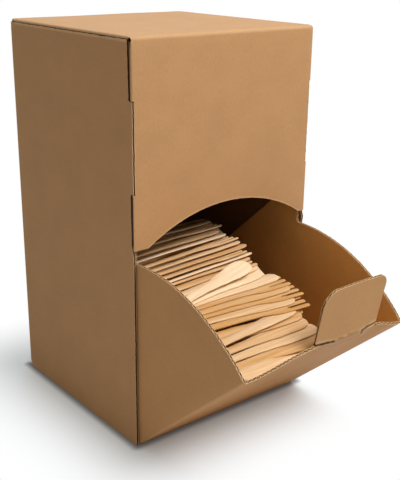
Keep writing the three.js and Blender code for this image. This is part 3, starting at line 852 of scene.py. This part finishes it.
def wing_corners(reach):
    """The wing's cut line in (back, up) from the panel's top round to its foot."""
    points = []
    for i in range(37):
        share = i / 36
        radius = reach + (NOTCH_REACH - reach) * share
        angle = pi / 2 - OPEN * share
        points.append((radius * cos(angle) + WING_LAP * (1 - share), radius * sin(angle)))
    points += [(back * cos(OPEN) + height * sin(OPEN), height * cos(OPEN) - back * sin(OPEN))
               for back, height in NOTCH_AND_HOOK]
    heel_angle = acos(WING_DEPTH / HOOK_REACH)
    first = atan2(points[-1][1], points[-1][0])
    angles = [first + (heel_angle - first) * i / 6 for i in range(1, 6)]
    points += [(HOOK_REACH * cos(angle), HOOK_REACH * sin(angle)) for angle in angles]
    heel = HOOK_REACH * sin(heel_angle)
    points += [(WING_DEPTH - 2, heel + 1), (WING_DEPTH, heel - 5), (WING_DEPTH, 10),
               (WING_DEPTH - 6, WING_FOOT), (3.2, WING_FOOT)]
    return points


def unfold(points, side):
    return [(side * (WING_START + back), height) for back, height in points]


left_wing = unfold(wing_corners(LEFT_REACH), -1)
right_wing = unfold(wing_corners(RIGHT_REACH), 1)[::-1]
print("each wing reaches back", WING_DEPTH, "mm, with", len(left_wing), "corners")

# %% [markdown]
# The panel's top edge runs a little downhill to the right. The hand tab's seam is cut into it,
# and the rest of the edge has been handled, so it is a little wavy.
# %% The tray's outline
TAB_SEAM = 227.5
PANEL_FOOT = -1.3
HANDLED_ABOVE = 225


def reach_at(x):
    return LEFT_REACH + (RIGHT_REACH - LEFT_REACH) * (x + WING_OUT) / (2 * WING_OUT)


def wavy(u, v, raw):
    handled = raw and v > HANDLED_ABOVE and abs(u) < 128
    return (u, v + 1.1 * noise.noise(Vector((u * 0.07, 5.0, 0.0))) if handled else v, raw)


tab_left, tab_right = TAB_CENTRE - TAB_WIDTH / 2, TAB_CENTRE + TAB_WIDTH / 2
panel_top = [
    (WING_OUT - 1.5, reach_at(WING_OUT)), (tab_right + 2.5, reach_at(tab_right)),
    (tab_right + 0.8, TAB_BASE - 2), (tab_right + 0.4, TAB_SEAM), (tab_left - 0.4, TAB_SEAM),
    (tab_left - 0.8, TAB_BASE + 1), (tab_left - 3.5, reach_at(tab_left)),
    (-WING_OUT + 1.5, reach_at(-WING_OUT)),
]
foot_left, foot_right = (-WING_IN, PANEL_FOOT), (WING_IN, PANEL_FOOT)
tray_outline = (
    walk([foot_left, foot_right], 8, raw=False) + walk([foot_right, right_wing[0]], 2)
    + walk(right_wing, 1.0) + walk([right_wing[-1], panel_top[0]], 1.0)
    + walk(panel_top[:4], 0.9) + walk(panel_top[3:5], 4, raw=False) + walk(panel_top[4:], 0.9)
    + walk([panel_top[-1], left_wing[0]], 1.0) + walk(left_wing, 1.0) + walk([left_wing[-1], foot_left], 2)
)
tray_outline = ragged([wavy(*point) for point in tray_outline], 0.4, 12.0)
wing_folds = spread(WING_OUT - WING_BEND, WING_START + WING_LAP, 1.2)
creased = spread(tab_left + 38, tab_right - 4, 1.5), spread(TAB_SEAM - 22, TAB_SEAM - 1, 0.8)
tray_dots = inside_dots([-c for c in wing_folds] + wing_folds, spread(4, 246, 9), tray_outline, 1.0)
tray_dots += inside_dots(*creased, tray_outline, 0.6)
tray_dots += inside_dots(spread(-120, 120, 12), spread(12, 198, 14), tray_outline, 3.5)
for side in (-1, 1):
    across_wing = [side * (WING_START + b) for b in spread(16, 220, 20)]
    tray_dots += inside_dots(across_wing, spread(14, 250, 20), tray_outline, 5)
print("tray:", len(tray_outline), "points round it and", len(tray_dots), "dots inside")

# %% [markdown]
# The hand tab was bent by hand, so its crease wanders. Over most of its width the board gave way
# well below the tab, and on the left it tore open instead. The crease and the tear are lines painted
# on the sheet: painted shade along the line, and a paler band painted as light on the ridge beside it.
# %% A crease folded by hand
CREASE = [(27, -15.5), (38, -17), (51, -16), (63, -15.5), (73, -14), (76, -12), (74, -6), (66, 4),
          (61.5, 9.5), (66, 10.5), (72, 11.5), (84, 14)]
TEAR = [(-16, 13), (-5, 11.5), (5, 10), (16, 7.5)]
FAR_OFF = 1e9


def away_from(path, x, t):
    """Distance in millimetres from a point (x, above the seam) to a line drawn on the sheet."""
    spot, nearest = Vector((x, t)), FAR_OFF
    for a, b in zip(path, path[1:]):
        start, run = Vector(a), Vector(b) - Vector(a)
        share = max(0, min(1, (spot - start).dot(run) / run.length_squared))
        nearest = min(nearest, (spot - start - run * share).length)
    return nearest


def crease_shade_and_light(x, t):
    crease, tear = away_from(CREASE, x, t), away_from(TEAR, x, t)
    # Painted shade along the crease and the tear, and painted light on the ridge beside them.
    dark = max(min(0.8, 1.3 * (1 - crease / 2.0)), min(1.0, 1.6 * (1 - tear / 2.1)))
    pale = 0.75 * max(0, 1 - abs(min(crease, tear) - 3.2) / 2.2)
    return -dark if dark > 0 else pale


# The painted shade at a point of the crease and of the tear.
worn = [round(crease_shade_and_light(*path[1]), 2) for path in (CREASE, TEAR)]
print("wear in the crease and in the tear:", worn)

# %% [markdown]
# With its fold paths, outline and creases known, the tray is one slab of board like the cover.
# The outside of each wing's fold is rubbed by the side walls it slides along.
# %% The tray
RUBBED_WING, WING_CREST, WING_CREST_REACH = 0.42, 130.2, 3.0


def tray_wear_and_shade(u, height):
    # On the tab's seam the crease's painted shade and light take over from wear.
    if height > TAB_SEAM - 24 and tab_left < u < tab_right:
        return crease_shade_and_light(u, height - TAB_SEAM)
    return RUBBED_WING * max(0, 1 - abs(abs(u) - WING_CREST) / WING_CREST_REACH)


tray_mesh = slab("tray_sheet", tray_outline, tray_dots, place_tray, CARD_LEVELS, CARD_BANDS,
                 tray_wear_and_shade, flute_ribbon, 1200.0)
tray = finish_mesh(tray_mesh, TRAY_CARD)
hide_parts("tray")
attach(tray, "tray")
print("tray:", len(tray.data.polygons), "faces")

# %% [markdown]
# The hand tab is part of the same sheet, and it stands steeper than the panel. Seen from the
# side, the panel's line and the tab's line meet in a corner, and a round fillet joins them.
# Its radius is large on the left, where the board bends gently, and small on the right.
# %% Where the hand tab bends
TAB_FOLD = radians(38.5)
TAB_HEIGHT = 70.0
slope = atan2(2 * PANEL_BOW * TAB_SEAM / TAB_BASE ** 2, 1)
TURN = TAB_FOLD - slope
along_panel = Vector((sin(slope), cos(slope)))
along_tab = Vector((sin(TAB_FOLD), cos(TAB_FOLD)))
seam = Vector((PANEL_BOW * (TAB_SEAM / TAB_BASE) ** 2 - HALF_BOARD, TAB_SEAM))
tab_foot = Vector((PANEL_BOW - HALF_BOARD * cos(TAB_FOLD), TAB_BASE + HALF_BOARD * sin(TAB_FOLD)))
gap = tab_foot - seam
cross = along_panel.x * along_tab.y - along_panel.y * along_tab.x
to_corner = (gap.x * along_tab.y - gap.y * along_tab.x) / cross
corner = seam + along_panel * to_corner
from_corner = (tab_foot - corner).dot(along_tab) + TAB_HEIGHT


def crease_radius(x):
    share = min(1, max(0, (x - tab_left) / TAB_WIDTH))
    wave = noise.noise(Vector((x * 0.07, 0.0, 3.0)))
    return 5.0 + 9.0 * (1 - share) ** 1.5 + 3.0 * wave * share


print("tab crease", round(to_corner, 2), "mm above its seam")

# %% [markdown]
# The liner wrinkles near the crease, and the tab's two upper corners curl outwards a little.
# %% The hand tab
WRINKLE, CURL = 1.5, 1.1


def place_tab(x, t, depth):
    """From the flat tab (x across, t above its seam) to its place on the open tray."""
    radius = crease_radius(x)
    tangent = radius * tan(TURN / 2)
    start = to_corner - tangent
    if t < start:
        spot, heading = seam + along_panel * t, slope
    elif t < start + radius * TURN:
        turned = (t - start) / radius
        base = seam + along_panel * start
        heading = slope + turned
        spot = base + Vector((cos(slope) - cos(heading), sin(heading) - sin(slope))) * radius
    else:
        heading = TAB_FOLD
        spot = corner + along_tab * (tangent + t - start - radius * TURN)
    near = max(0, 1 - abs(t - to_corner) / 9)
    wrinkle = WRINKLE * near * noise.noise(Vector((x * 0.11, t * 0.22, 6.0)))
    curl = CURL * (max(0, t - 12) / 60) ** 2 * (((x - TAB_CENTRE) / 50) ** 2)
    inward = depth + wrinkle - curl
    return tilt_open(x, spot.x + inward * cos(heading), spot.y - inward * sin(heading))


TIGHT, ROUND = 13, 20
tab_top = to_corner + from_corner
tab_corners = (
    [(tab_left, 0.0), (tab_right, 0.0), (tab_right - 0.6, 9.0), (tab_right, 16.0)]
    + sweep((tab_right - TIGHT, tab_top - TIGHT), TIGHT, 0, 90, 12)
    + sweep((tab_left + ROUND, tab_top - ROUND), ROUND, 90, 180, 16)
    + [(tab_left, 14.0), (tab_left + 1.0, 8.0), (tab_left, 0.0)]
)
tab_outline = ragged(walk(tab_corners[:2], 4, raw=False) + walk(tab_corners[1:], 0.9), 0.3, 21.0)
tab_dots = inside_dots(spread(tab_left + 1, tab_right - 1, 1.6), spread(1, 19, 0.8), tab_outline, 0.5)
tab_dots += inside_dots(spread(tab_left, tab_right, 9), spread(26, 76, 9), tab_outline, 3)
tab_mesh = slab("hand_tab", tab_outline, tab_dots, place_tab, CARD_LEVELS, CARD_BANDS,
                crease_shade_and_light, flute_ribbon, 2100.0)
tab = finish_mesh(tab_mesh, TAB_CARD)
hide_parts("tab")
below = tilt_open(TAB_CENTRE, *(corner - along_panel * 5))
above = tilt_open(TAB_CENTRE, *(corner + along_tab * 9))
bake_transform(tab)
print("hand tab:", len(tab.data.polygons), "faces")

# %% [markdown]
# Wooden cutlery is stamped from thin birch veneer and tumbled, which rounds its edges.
# Each piece starts from half its outline: a narrow handle, then a blade, a head or a bowl.
# A head is given as its length, its width and the share of that width at places along it.
# %% Half an outline
WOOD = 1.65
ARRIS = 0.35
WOOD_LEVELS = [(0, ARRIS), (ARRIS, 0), (WOOD - ARRIS, 0), (WOOD, ARRIS)]
WOOD_BANDS = [0, 0, 0]
FORK_WIDTH = 23.0
HEADS = {
    "knife": (95, 20.0, [(0.2, 0.66), (0.526, 0.93), (0.8, 1), (0.874, 0.99), (0.947, 0.8),
                         (0.984, 0.5), (1, 0.14)]),
    "fork": (70, FORK_WIDTH, [(0.18, 0.62), (0.357, 0.88), (0.5, 0.97), (1, 1)]),
    "spoon": (88, 25.0, [(0.2, 0.54), (0.45, 0.74), (0.68, 0.95), (0.8, 1), (0.9, 0.9), (0.955, 0.68),
                         (0.988, 0.4), (1, 0.14)]),
}


def half_outline(kind, length):
    """Half widths at stations along a piece, from the handle's end to the tip."""
    head, width, profile = HEADS[kind]
    neck = length - head
    stations = [(0, 2.2), (0.8, 3.6), (2.4, 4.5), (neck * 0.55, 4.8), (neck, 5.25)]
    stations += [(neck + head * place, share * width / 2) for place, share in profile]
    return stations


def width_at(stations, along):
    """The half width at any place, eased between two stations."""
    for (a, p), (b, q) in zip(stations, stations[1:]):
        if along <= b:
            share = (along - a) / (b - a)
            soft = share * share * (3 - 2 * share) if a > 5 and b < stations[-1][0] - 6 else share
            return p + (q - p) * soft
    return stations[-1][1]


print("a spoon is", round(2 * max(w for _, w in half_outline("spoon", 160)), 1), "mm wide")

# %% [markdown]
# A knife has fine teeth along its lower edge. A fork's end is cut into three tines with two
# round-bottomed slots. Everything else is the half outline and its mirror image.
# %% Cutlery outlines
TOOTH, TOOTH_PITCH = 0.45, 1.5
TINE_GAP, TINE_LENGTH, TINE_EASE = 3, 30, 1.3


def mirrored_pair(points):
    return [(a, -b) for a, b in reversed(points)]


def fork_comb(length):
    """The lower half of a fork's tines, from the outer side in to the middle tine."""
    tine = (FORK_WIDTH - 2 * TINE_GAP) / 3
    root, cut, eased = length - TINE_LENGTH, length - 4, length - TINE_EASE
    inner, outer, side = tine / 2, tine / 2 + TINE_GAP, FORK_WIDTH / 2
    comb = [(cut, -side), (eased, -side + 0.5), (length, -side + 1.7),
            (length, -outer - 1.6), (eased, -outer - 0.4), (cut, -outer)]
    comb += sweep((root + 1.5, -inner - 1.5), 1.5, 270, 90, 6)
    return comb + [(cut, -inner), (eased, -inner + 0.4), (length, -inner + 1.6)]


def cutlery_outline(kind, length):
    """A closed outline, from the handle's end round the tip and back, in millimetres."""
    stations = half_outline(kind, length)
    last = length - 9 if kind == "fork" else length
    marks = sorted({0.0, 0.8, 2.4} | set(spread(5, last - 6, 6.5)) | set(spread(last - 6, last, 1.5)))
    lower = [(a, -width_at(stations, a)) for a in marks]
    upper = [(a, width_at(stations, a)) for a in reversed(marks)]
    if kind == "knife":
        toothed = enumerate(spread(length - 62, length - 16, TOOTH_PITCH))
        teeth = [(a, -width_at(stations, a) + (TOOTH if k % 2 else 0)) for k, a in toothed]
        lower = [p for p in lower if p[0] < length - 63] + teeth + [p for p in lower if p[0] > length - 15]
    if kind == "fork":
        comb = fork_comb(length)
        lower = lower + comb
        upper = mirrored_pair(comb) + upper
    return [(a, b, True) for a, b in lower + upper]


print("a knife's outline has", len(cutlery_outline("knife", 165)), "points")

# %% [markdown]
# The wood is unfinished, so it is dull, warm and pale. One material serves every piece. The mesh
# carries each piece's tone in its wear note, with painted light and shade in it, and its own place in the
# veneer.
# %% Birch material
VENEER = {"Pale": (0.97, 0.775, 0.54, 1), "Deep": (0.56, 0.29, 0.09, 1)}
BIRCH = [grouped_material("birch_veneer", birch_group, "Tone And Painted Light", VENEER,
                          roughness=0.65, specular=0.15, bump=0.18, bump_depth=0.5 * MM)]
print("wood material:", BIRCH[0].name)

# %% [markdown]
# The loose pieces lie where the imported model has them. Each one's own directions are read from
# its node: the longest way is along, the thinnest way is up, and the wider end is the head.
# %% Where each loose piece lies
def lie_of(name):
    """The place (start, along, across, up) and the length of a loose piece, in metres."""
    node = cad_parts[name]
    points = np.unique(np.round([tuple(node.matrix_world @ v.co) for v in node.data.vertices], 6), axis=0)
    middle = (points.min(0) + points.max(0)) / 2
    _, _, ways = np.linalg.svd(points - points.mean(0), full_matrices=False)
    along, up = ways[0], ways[2]
    up = up if up[2] > 0 else -up
    reach = (points - middle) @ along
    wide = np.abs((points - middle) @ ways[1])
    if wide[reach > 0].max() < wide[reach < 0].max():
        along, reach = -along, -reach
    across = np.cross(up, along)
    sideways, height = (points - middle) @ across, (points - middle) @ up
    start = middle + along * reach.min() + across * (sideways.max() + sideways.min()) / 2 + up * height.min()
    return Vector(start), Vector(along), Vector(across), Vector(up), (reach.max() - reach.min()) / MM


loose = sorted(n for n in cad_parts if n.split("_")[0] in HEADS)
print(len(loose), "loose pieces; the first is", round(lie_of(loose[0])[4], 1), "mm long")

# %% [markdown]
# Each loose piece is stamped from its own bit of veneer. A small warp and a twist, different for
# each, keep the heap from looking machined, and a spoon's bowl is pressed down in its middle.
# %% Making one piece
BOWL_SHARE, BOWL_DEPTH, BOWL_HALF = 0.82, 0.8, 13


def place_piece(kind, lie, warp, twist, roll):
    """The way from a flat piece (u along, v across) to its place in the heap."""
    start, along, across, up, length = lie
    across, up = across * cos(roll) + up * sin(roll), up * cos(roll) - across * sin(roll)
    bowl_length = HEADS[kind][0] * BOWL_SHARE

    def place(u, v, depth):
        share = u / length
        lift = warp * (2 * share - 1) ** 2 + twist * (share - 0.5) * v
        if kind == "spoon" and u > length - bowl_length:
            bowl = sin(pi * min(1, (u - length + bowl_length) / bowl_length))
            lift -= BOWL_DEPTH * bowl * max(0, 1 - (v / BOWL_HALF) ** 2)
        return start + (along * u + across * v + up * (depth + lift)) * MM
    return place


def make_piece(name, kind, length, lay, tone, seed):
    outline = cutlery_outline(kind, length)
    dots = inside_dots(spread(8, length - 8, 14), [0.0], outline, 1.5)
    if kind == "spoon":
        dots += inside_dots(spread(length - 50, length - 4, 4), spread(-9, 9, 4.5), outline, 1.5)
    mesh = slab(name, outline, dots, lay, WOOD_LEVELS, WOOD_BANDS, lambda u, v: tone, None, seed)
    return finish_mesh(mesh, BIRCH, 50)


print("a spoon's bowl is", round(HEADS["spoon"][0] * BOWL_SHARE), "mm long and", BOWL_DEPTH, "mm deep")

# %% [markdown]
# The heap is lit from the front. Each piece's tone is partly its own and partly painted by its place:
# the pieces near the front edge are painted darker as shade, and the spoons on top paler as light.
# The rearmost pieces lean on the ones behind, so they are rolled.
# %% The loose cutlery
SHADED_FRONT_OF_HEAP, LIT_SPOONS_FROM, REAR_OF_HEAP = -0.2, -0.25, -0.172


def steady(name):
    """A number from 0 to 1 that always belongs to the same piece."""
    return (sum(ord(c) * (i + 3) * 37 for i, c in enumerate(name)) % 101) / 100


def tone_and_painted_light_of(kind, y, chance):
    """How dark a piece is, from 0 to 1: its own tone, with painted shade at the front and painted light on
    the top spoons.
    """
    if kind == "spoon" and y > LIT_SPOONS_FROM:
        return 0.12 * chance
    return 0.3 + 0.7 * chance if y < SHADED_FRONT_OF_HEAP else chance


for name in loose:
    kind = name.split("_")[0]
    lie = lie_of(name)
    chance = steady(name)
    leans = lie[0].y > REAR_OF_HEAP and kind != "spoon"
    roll = radians(-17 + 12 * (chance - 0.5)) if leans else radians(5 * (chance - 0.5))
    lay = place_piece(kind, lie, 0.5 * chance, 0.012 * (chance - 0.5), roll)
    veneer_place = 400.0 * (1 + loose.index(name))
    piece = make_piece(f"wooden_{name}", kind, lie[4], lay, tone_and_painted_light_of(kind, lie[0].y, chance), veneer_place)
    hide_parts(name)
    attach(piece, "tray")
print("loose cutlery laid:", len(loose))

# %% [markdown]
# Two pieces have slipped off the top layer of bundles and lie the other way round, head to the
# left: one behind the tray's front edge, and one lower in the gap under the first fork.
# %% Two stray pieces
# Each is: name, the layer it belongs to, start, tip, lean in degrees, tone.
STRAYS = [
    ("stray_front", "bed_layer_9", (28, -284, 150.5), (-126, -306, 163.5), 14, 0.55),
    ("stray_middle", "bed_layer_10", (24, -246, 176.0), (-126, -249, 177.5), 24, 0.8),
]
for name, layer, start, tip, lean, tone in STRAYS:
    run = Vector(tip) - Vector(start)
    along = run.normalized()
    flat = Vector((0, 0, 1)).cross(along).normalized()
    across = (flat * cos(radians(-lean)) + along.cross(flat) * sin(radians(-lean))).normalized()
    lie = (Vector(start) * MM, along, across, along.cross(across), run.length)
    lay = place_piece("knife", lie, 0.4, 0, 0)
    stray = make_piece(name, "knife", run.length, lay, tone, 15000 + 400 * tone)
    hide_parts(layer)
    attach(stray, "tray")
print("strays laid:", len(STRAYS))

# %% [markdown]
# Under the loose ones the cutlery lies as it was packed: in squared-up bundles of ten. Only
# their ends and edges show, so one simple outline of each kind is stamped and then copied.
# %% One plain piece of each kind
STAMPED_LENGTH = 164


def plain_outline(kind, length):
    stations = half_outline(kind, length)
    marks = [0.0, 2.4] + spread(16, length - 18, 17) + [length - 10, length - 4, length - 1, length]
    lower = [(a, -width_at(stations, a), True) for a in marks]
    return lower + [(a, -b, True) for a, b, _ in reversed(lower)]


def stamp(kind):
    """One plain piece of veneer as arrays of points and faces, in millimetres."""
    levels = [(0, 0.2), (WOOD / 2, 0), (WOOD - 0.12, 0.2)]
    outline = plain_outline(kind, STAMPED_LENGTH)
    mesh = slab(f"stamp_{kind}", outline, [], lambda u, v, d: Vector((u, v, d)), levels, [0, 0])
    turn_faces_out(mesh)
    points = np.array([tuple(v.co) for v in mesh.vertices])
    faces = [tuple(p.vertices) for p in mesh.polygons]
    bpy.data.meshes.remove(mesh)
    return points, faces


stamps = {kind: stamp(kind) for kind in HEADS}
print("stamped:", {kind: len(points) for kind, (points, _) in stamps.items()}, "points")

# %% [markdown]
# The bundles stand side by side up a slope, one layer on another. A layer starts where the
# tray's bowed panel lets it, and ends above the wings' foot or within the wings' reach.
# %% Where the bundles stand
SLOPE = radians(25)
BUNDLE, PITCH, STEP = 10, 19.8, 10 * WOOD + 0.3
LEFT_SEAT, SEAT_PLAY = -126.8, 5
FIRST_LAYER_UP = 11
TOP_LAYER, TOP_LAYER_BACK = 9, 40
WING_ROOM = 254
UP_SLOPE = Vector((0, cos(SLOPE), sin(SLOPE)))
OFF_SLOPE = Vector((0, -sin(SLOPE), cos(SLOPE)))


def shuffler(seed):
    """A steady stream of numbers from -1 to 1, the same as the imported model's."""
    state = seed
    while True:
        state = state * 16807 % 2147483647
        yield 2 * state / 2147483647 - 1


seat_numbers, nudges = shuffler(7), shuffler(41)


def bundle_places(layer):
    """Where each bundle of a layer starts, in millimetres."""
    height = FIRST_LAYER_UP + layer * STEP
    panel_angle = pi / 2 - OPEN + SLOPE
    front = (2 - height * cos(panel_angle)) / sin(panel_angle)
    bowed = PANEL_BOW * min(1, (height / sin(panel_angle) + 10) / TAB_BASE) ** 2
    along = front + bowed / sin(panel_angle) + (TOP_LAYER_BACK if layer == TOP_LAYER else 0) + 10
    foot_stop = (height * cos(OPEN - SLOPE) - 2) / sin(OPEN - SLOPE)
    rear = min(foot_stop, sqrt(max(0, WING_ROOM ** 2 - (height + BUNDLE * WOOD) ** 2)))
    found = []
    while along + 10 < rear:
        seat = Vector((LEFT_SEAT + SEAT_PLAY * (1 + next(seat_numbers)), HINGE_Y, HINGE_Z))
        found.append(seat + UP_SLOPE * along + OFF_SLOPE * height)
        along += PITCH
    return found


print("a bundle of", BUNDLE, "is", round(BUNDLE * WOOD, 1), "mm high")

# %% [markdown]
# Every copy in a bundle is nudged a little out of line and has its own tone and its own place in
# the veneer, so the ends read as separate pieces. Their tones are kept dark, as painted shade deep in
# the heap. Each layer is one mesh.
# %% The bundles under the heap
SLIDE, SIDESLIP, SKEW = 1.2, 0.35, 0.006


def fill_bundle(place, kind, pick):
    """The points, faces, veneer places and tones of one bundle, copy by copy."""
    flat, ring = stamps[kind]
    for k in range(BUNDLE):
        shift, skew, sideways, tone = (next(nudges) for _ in range(4))
        u = flat[:, 0] + SLIDE + SLIDE * shift
        v = flat[:, 1] + SIDESLIP * sideways + (flat[:, 0] - STAMPED_LENGTH / 2) * SKEW * skew
        d = flat[:, 2] + k * WOOD
        at = np.array(place) + np.outer(u, (1, 0, 0)) + np.outer(v, UP_SLOPE) + np.outer(d, OFF_SLOPE)
        veneer = flat + np.array([900.0 * (pick + 2) + 170 * k, 31 * tone, 0])
        # The bundles' tones start dark: painted shade for the lower heap.
        yield at * MM, ring, veneer, np.full(len(flat), 0.4 + 0.5 * tone)


for layer in range(TOP_LAYER + 1):
    points, faces, sheet, tones = [], [], [], []
    for place in bundle_places(layer):
        pick = next(nudges)
        kind = "knife" if pick < 0 else "fork" if pick < 0.6 else "spoon"
        for at, ring, veneer, tone in fill_bundle(place, kind, pick):
            first = sum(len(p) for p in points)
            points.append(at)
            faces += [tuple(first + i for i in face) for face in ring]
            sheet.append(veneer)
            tones.append(tone)
    mesh = bpy.data.meshes.new(f"bundles_{layer + 1}")
    mesh.from_pydata(np.concatenate(points).tolist(), [], faces)
    keep_on_points(mesh, "sheet", np.concatenate(sheet))
    keep_on_points(mesh, "wear_and_painted_light", np.concatenate(tones))
    mesh.shade_flat()
    mesh.materials.append(BIRCH[0])
    bundles = link_piece(mesh)
    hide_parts(f"bed_layer_{layer + 1}")
    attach(bundles, "tray")
print("bundles laid in", TOP_LAYER + 1, "layers")

# %% [markdown]
# The floor is a plain pale sheet. The soft shadow falls on it near the carton, and it fades to
# white paper further out. Right under the edge a dark line is painted as contact shadow: that
# line follows the carton's own footprint. Other rays than the camera's see plain matt paper.
# %% Floor
FOOTPRINT = (0.135, 0.136, 1.0)
CREEP = 0.012
FADE_FROM, FADE_TO = -0.02, 0.16
NEAR_GLOW = 0.065
# A contact shadow painted on the floor, reaching CREEP out from the footprint.
CONTACT_SHADOW_TONE, OPEN_TONE = (0.22, 0.22, 0.23, 1), (0.89, 0.95, 1.0, 1)
BOUNCE_TONE = (0.68, 0.675, 0.67, 1)
FAR, FLOOR_DROP = 12.0, 0.0005


def past_footprint(tree):
    """How far a point of the floor lies outside the carton's footprint, in metres."""
    place = add_node(tree, "ShaderNodeNewGeometry").outputs["Position"]
    past = calculate_vector(tree, "SUBTRACT", calculate_vector(tree, "ABSOLUTE", place), FOOTPRINT)
    past = calculate_vector(tree, "MAXIMUM", past)
    return add_node(tree, "ShaderNodeVectorMath", {0: past}, operation="LENGTH").outputs["Value"]


def join_shaders(tree, kind, first, second, share=None):
    made = add_node(tree, kind, None if share is None else {0: share})
    for socket, part in zip(list(made.inputs)[-2:], (first, second)):
        tree.links.new(part.outputs[0], socket)
    return made


def floor_material():
    material = bpy.data.materials.new("white_floor")
    material.use_nodes = True
    tree = material.node_tree
    tree.nodes.remove(tree.nodes["Principled BSDF"])
    away = past_footprint(tree)
    # The painted contact shadow, darkest right at the footprint.
    open_floor = map_range(tree, away, 0.0, CREEP, ease="SMOOTHSTEP")
    tone = blend_colours(tree, open_floor, CONTACT_SHADOW_TONE, OPEN_TONE)
    bright = add_node(tree, "ShaderNodeBsdfDiffuse", {"Color": tone})
    glow = add_node(tree, "ShaderNodeEmission", {"Color": tone, "Strength": NEAR_GLOW})
    white = add_node(tree, "ShaderNodeEmission", {"Color": (1, 1, 1, 1), "Strength": 1.0})
    near = join_shaders(tree, "ShaderNodeAddShader", bright, glow)
    fade = map_range(tree, away, FADE_FROM, FADE_TO, ease="SMOOTHSTEP")
    paper = join_shaders(tree, "ShaderNodeMixShader", near, white, fade)
    matt = add_node(tree, "ShaderNodeBsdfDiffuse", {"Color": BOUNCE_TONE})
    seen = add_node(tree, "ShaderNodeLightPath").outputs["Is Camera Ray"]
    final = join_shaders(tree, "ShaderNodeMixShader", matt, paper, seen)
    tree.links.new(final.outputs[0], tree.nodes["Material Output"].inputs["Surface"])
    return material


floor_mesh = bpy.data.meshes.new("studio_floor")
floor_corners = [(x * FAR, y * FAR, -FLOOR_DROP) for x, y in ((-1, -1), (1, -1), (1, 1), (-1, 1))]
floor_mesh.from_pydata(floor_corners, [], [(0, 1, 2, 3)])
floor_mesh.materials.append(floor_material())
studio_floor = link_piece(floor_mesh)
studio_floor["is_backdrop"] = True
print("floor laid,", 2 * FAR, "m across")

# %% [markdown]
# Two large soft boxes stand in a white room. The strong one is high in front, a little to the
# right, and a weaker and cooler one is high behind, for the carton's top and the floor at its back.
# The world stands in for the walls. To the eye and in reflections it is plain white, and as a
# light it is dimmer and warm, so that the carton's left side falls into soft shade.
# %% Light
WALL_LIGHT = 0.325
WARM_WALLS, WHITE_WALLS = (1.0, 0.925, 0.8, 1), (1, 1, 1, 1)
AIM = Vector((0, 0, 0.24))
# Each is: power in watts, the way it lies from the carton, distance, size in metres, colour.
SOFT_BOXES = {
    "soft_box_front": (61.0, Vector((0.2, -0.56, 0.8)), 2.6, 1.3, (1.0, 1.0, 1.0)),
    "soft_box_rear": (13.0, Vector((0.1, 0.5, 0.86)), 2.2, 1.4, (0.76, 0.93, 1.0)),
}

world = bpy.data.worlds.new("white_room")
world.use_nodes = True
room = world.node_tree
background = room.nodes["Background"].inputs
paths = add_node(room, "ShaderNodeLightPath").outputs
seen = calculate(room, "MAXIMUM", paths["Is Camera Ray"], paths["Is Glossy Ray"])
seen = calculate(room, "MAXIMUM", seen, paths["Is Transmission Ray"])
room.links.new(map_range(room, seen, 0.0, 1.0, WALL_LIGHT, 1.0), background["Strength"])
room.links.new(blend_colours(room, seen, WARM_WALLS, WHITE_WALLS), background["Color"])
bpy.context.scene.world = world

for name, (power, way, distance, size, colour) in SOFT_BOXES.items():
    lamp = bpy.data.lights.new(name, "AREA")
    lamp.energy = power
    lamp.color = colour
    lamp.size = size
    soft_box = bpy.data.objects.new(name, lamp)
    soft_box.location = AIM + way.normalized() * distance
    soft_box.rotation_euler = way.to_track_quat("Z", "Y").to_euler()
    bpy.context.scene.collection.objects.link(soft_box)
    print(name, "at", [round(c, 2) for c in soft_box.location])

shown_bounds = [list(corner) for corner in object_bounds()]
for label, (low, high) in (("packed", cad_bounds), ("shown", shown_bounds)):
    print(label, [round((b - a) / MM, 1) for a, b in zip(low, high)], "mm")
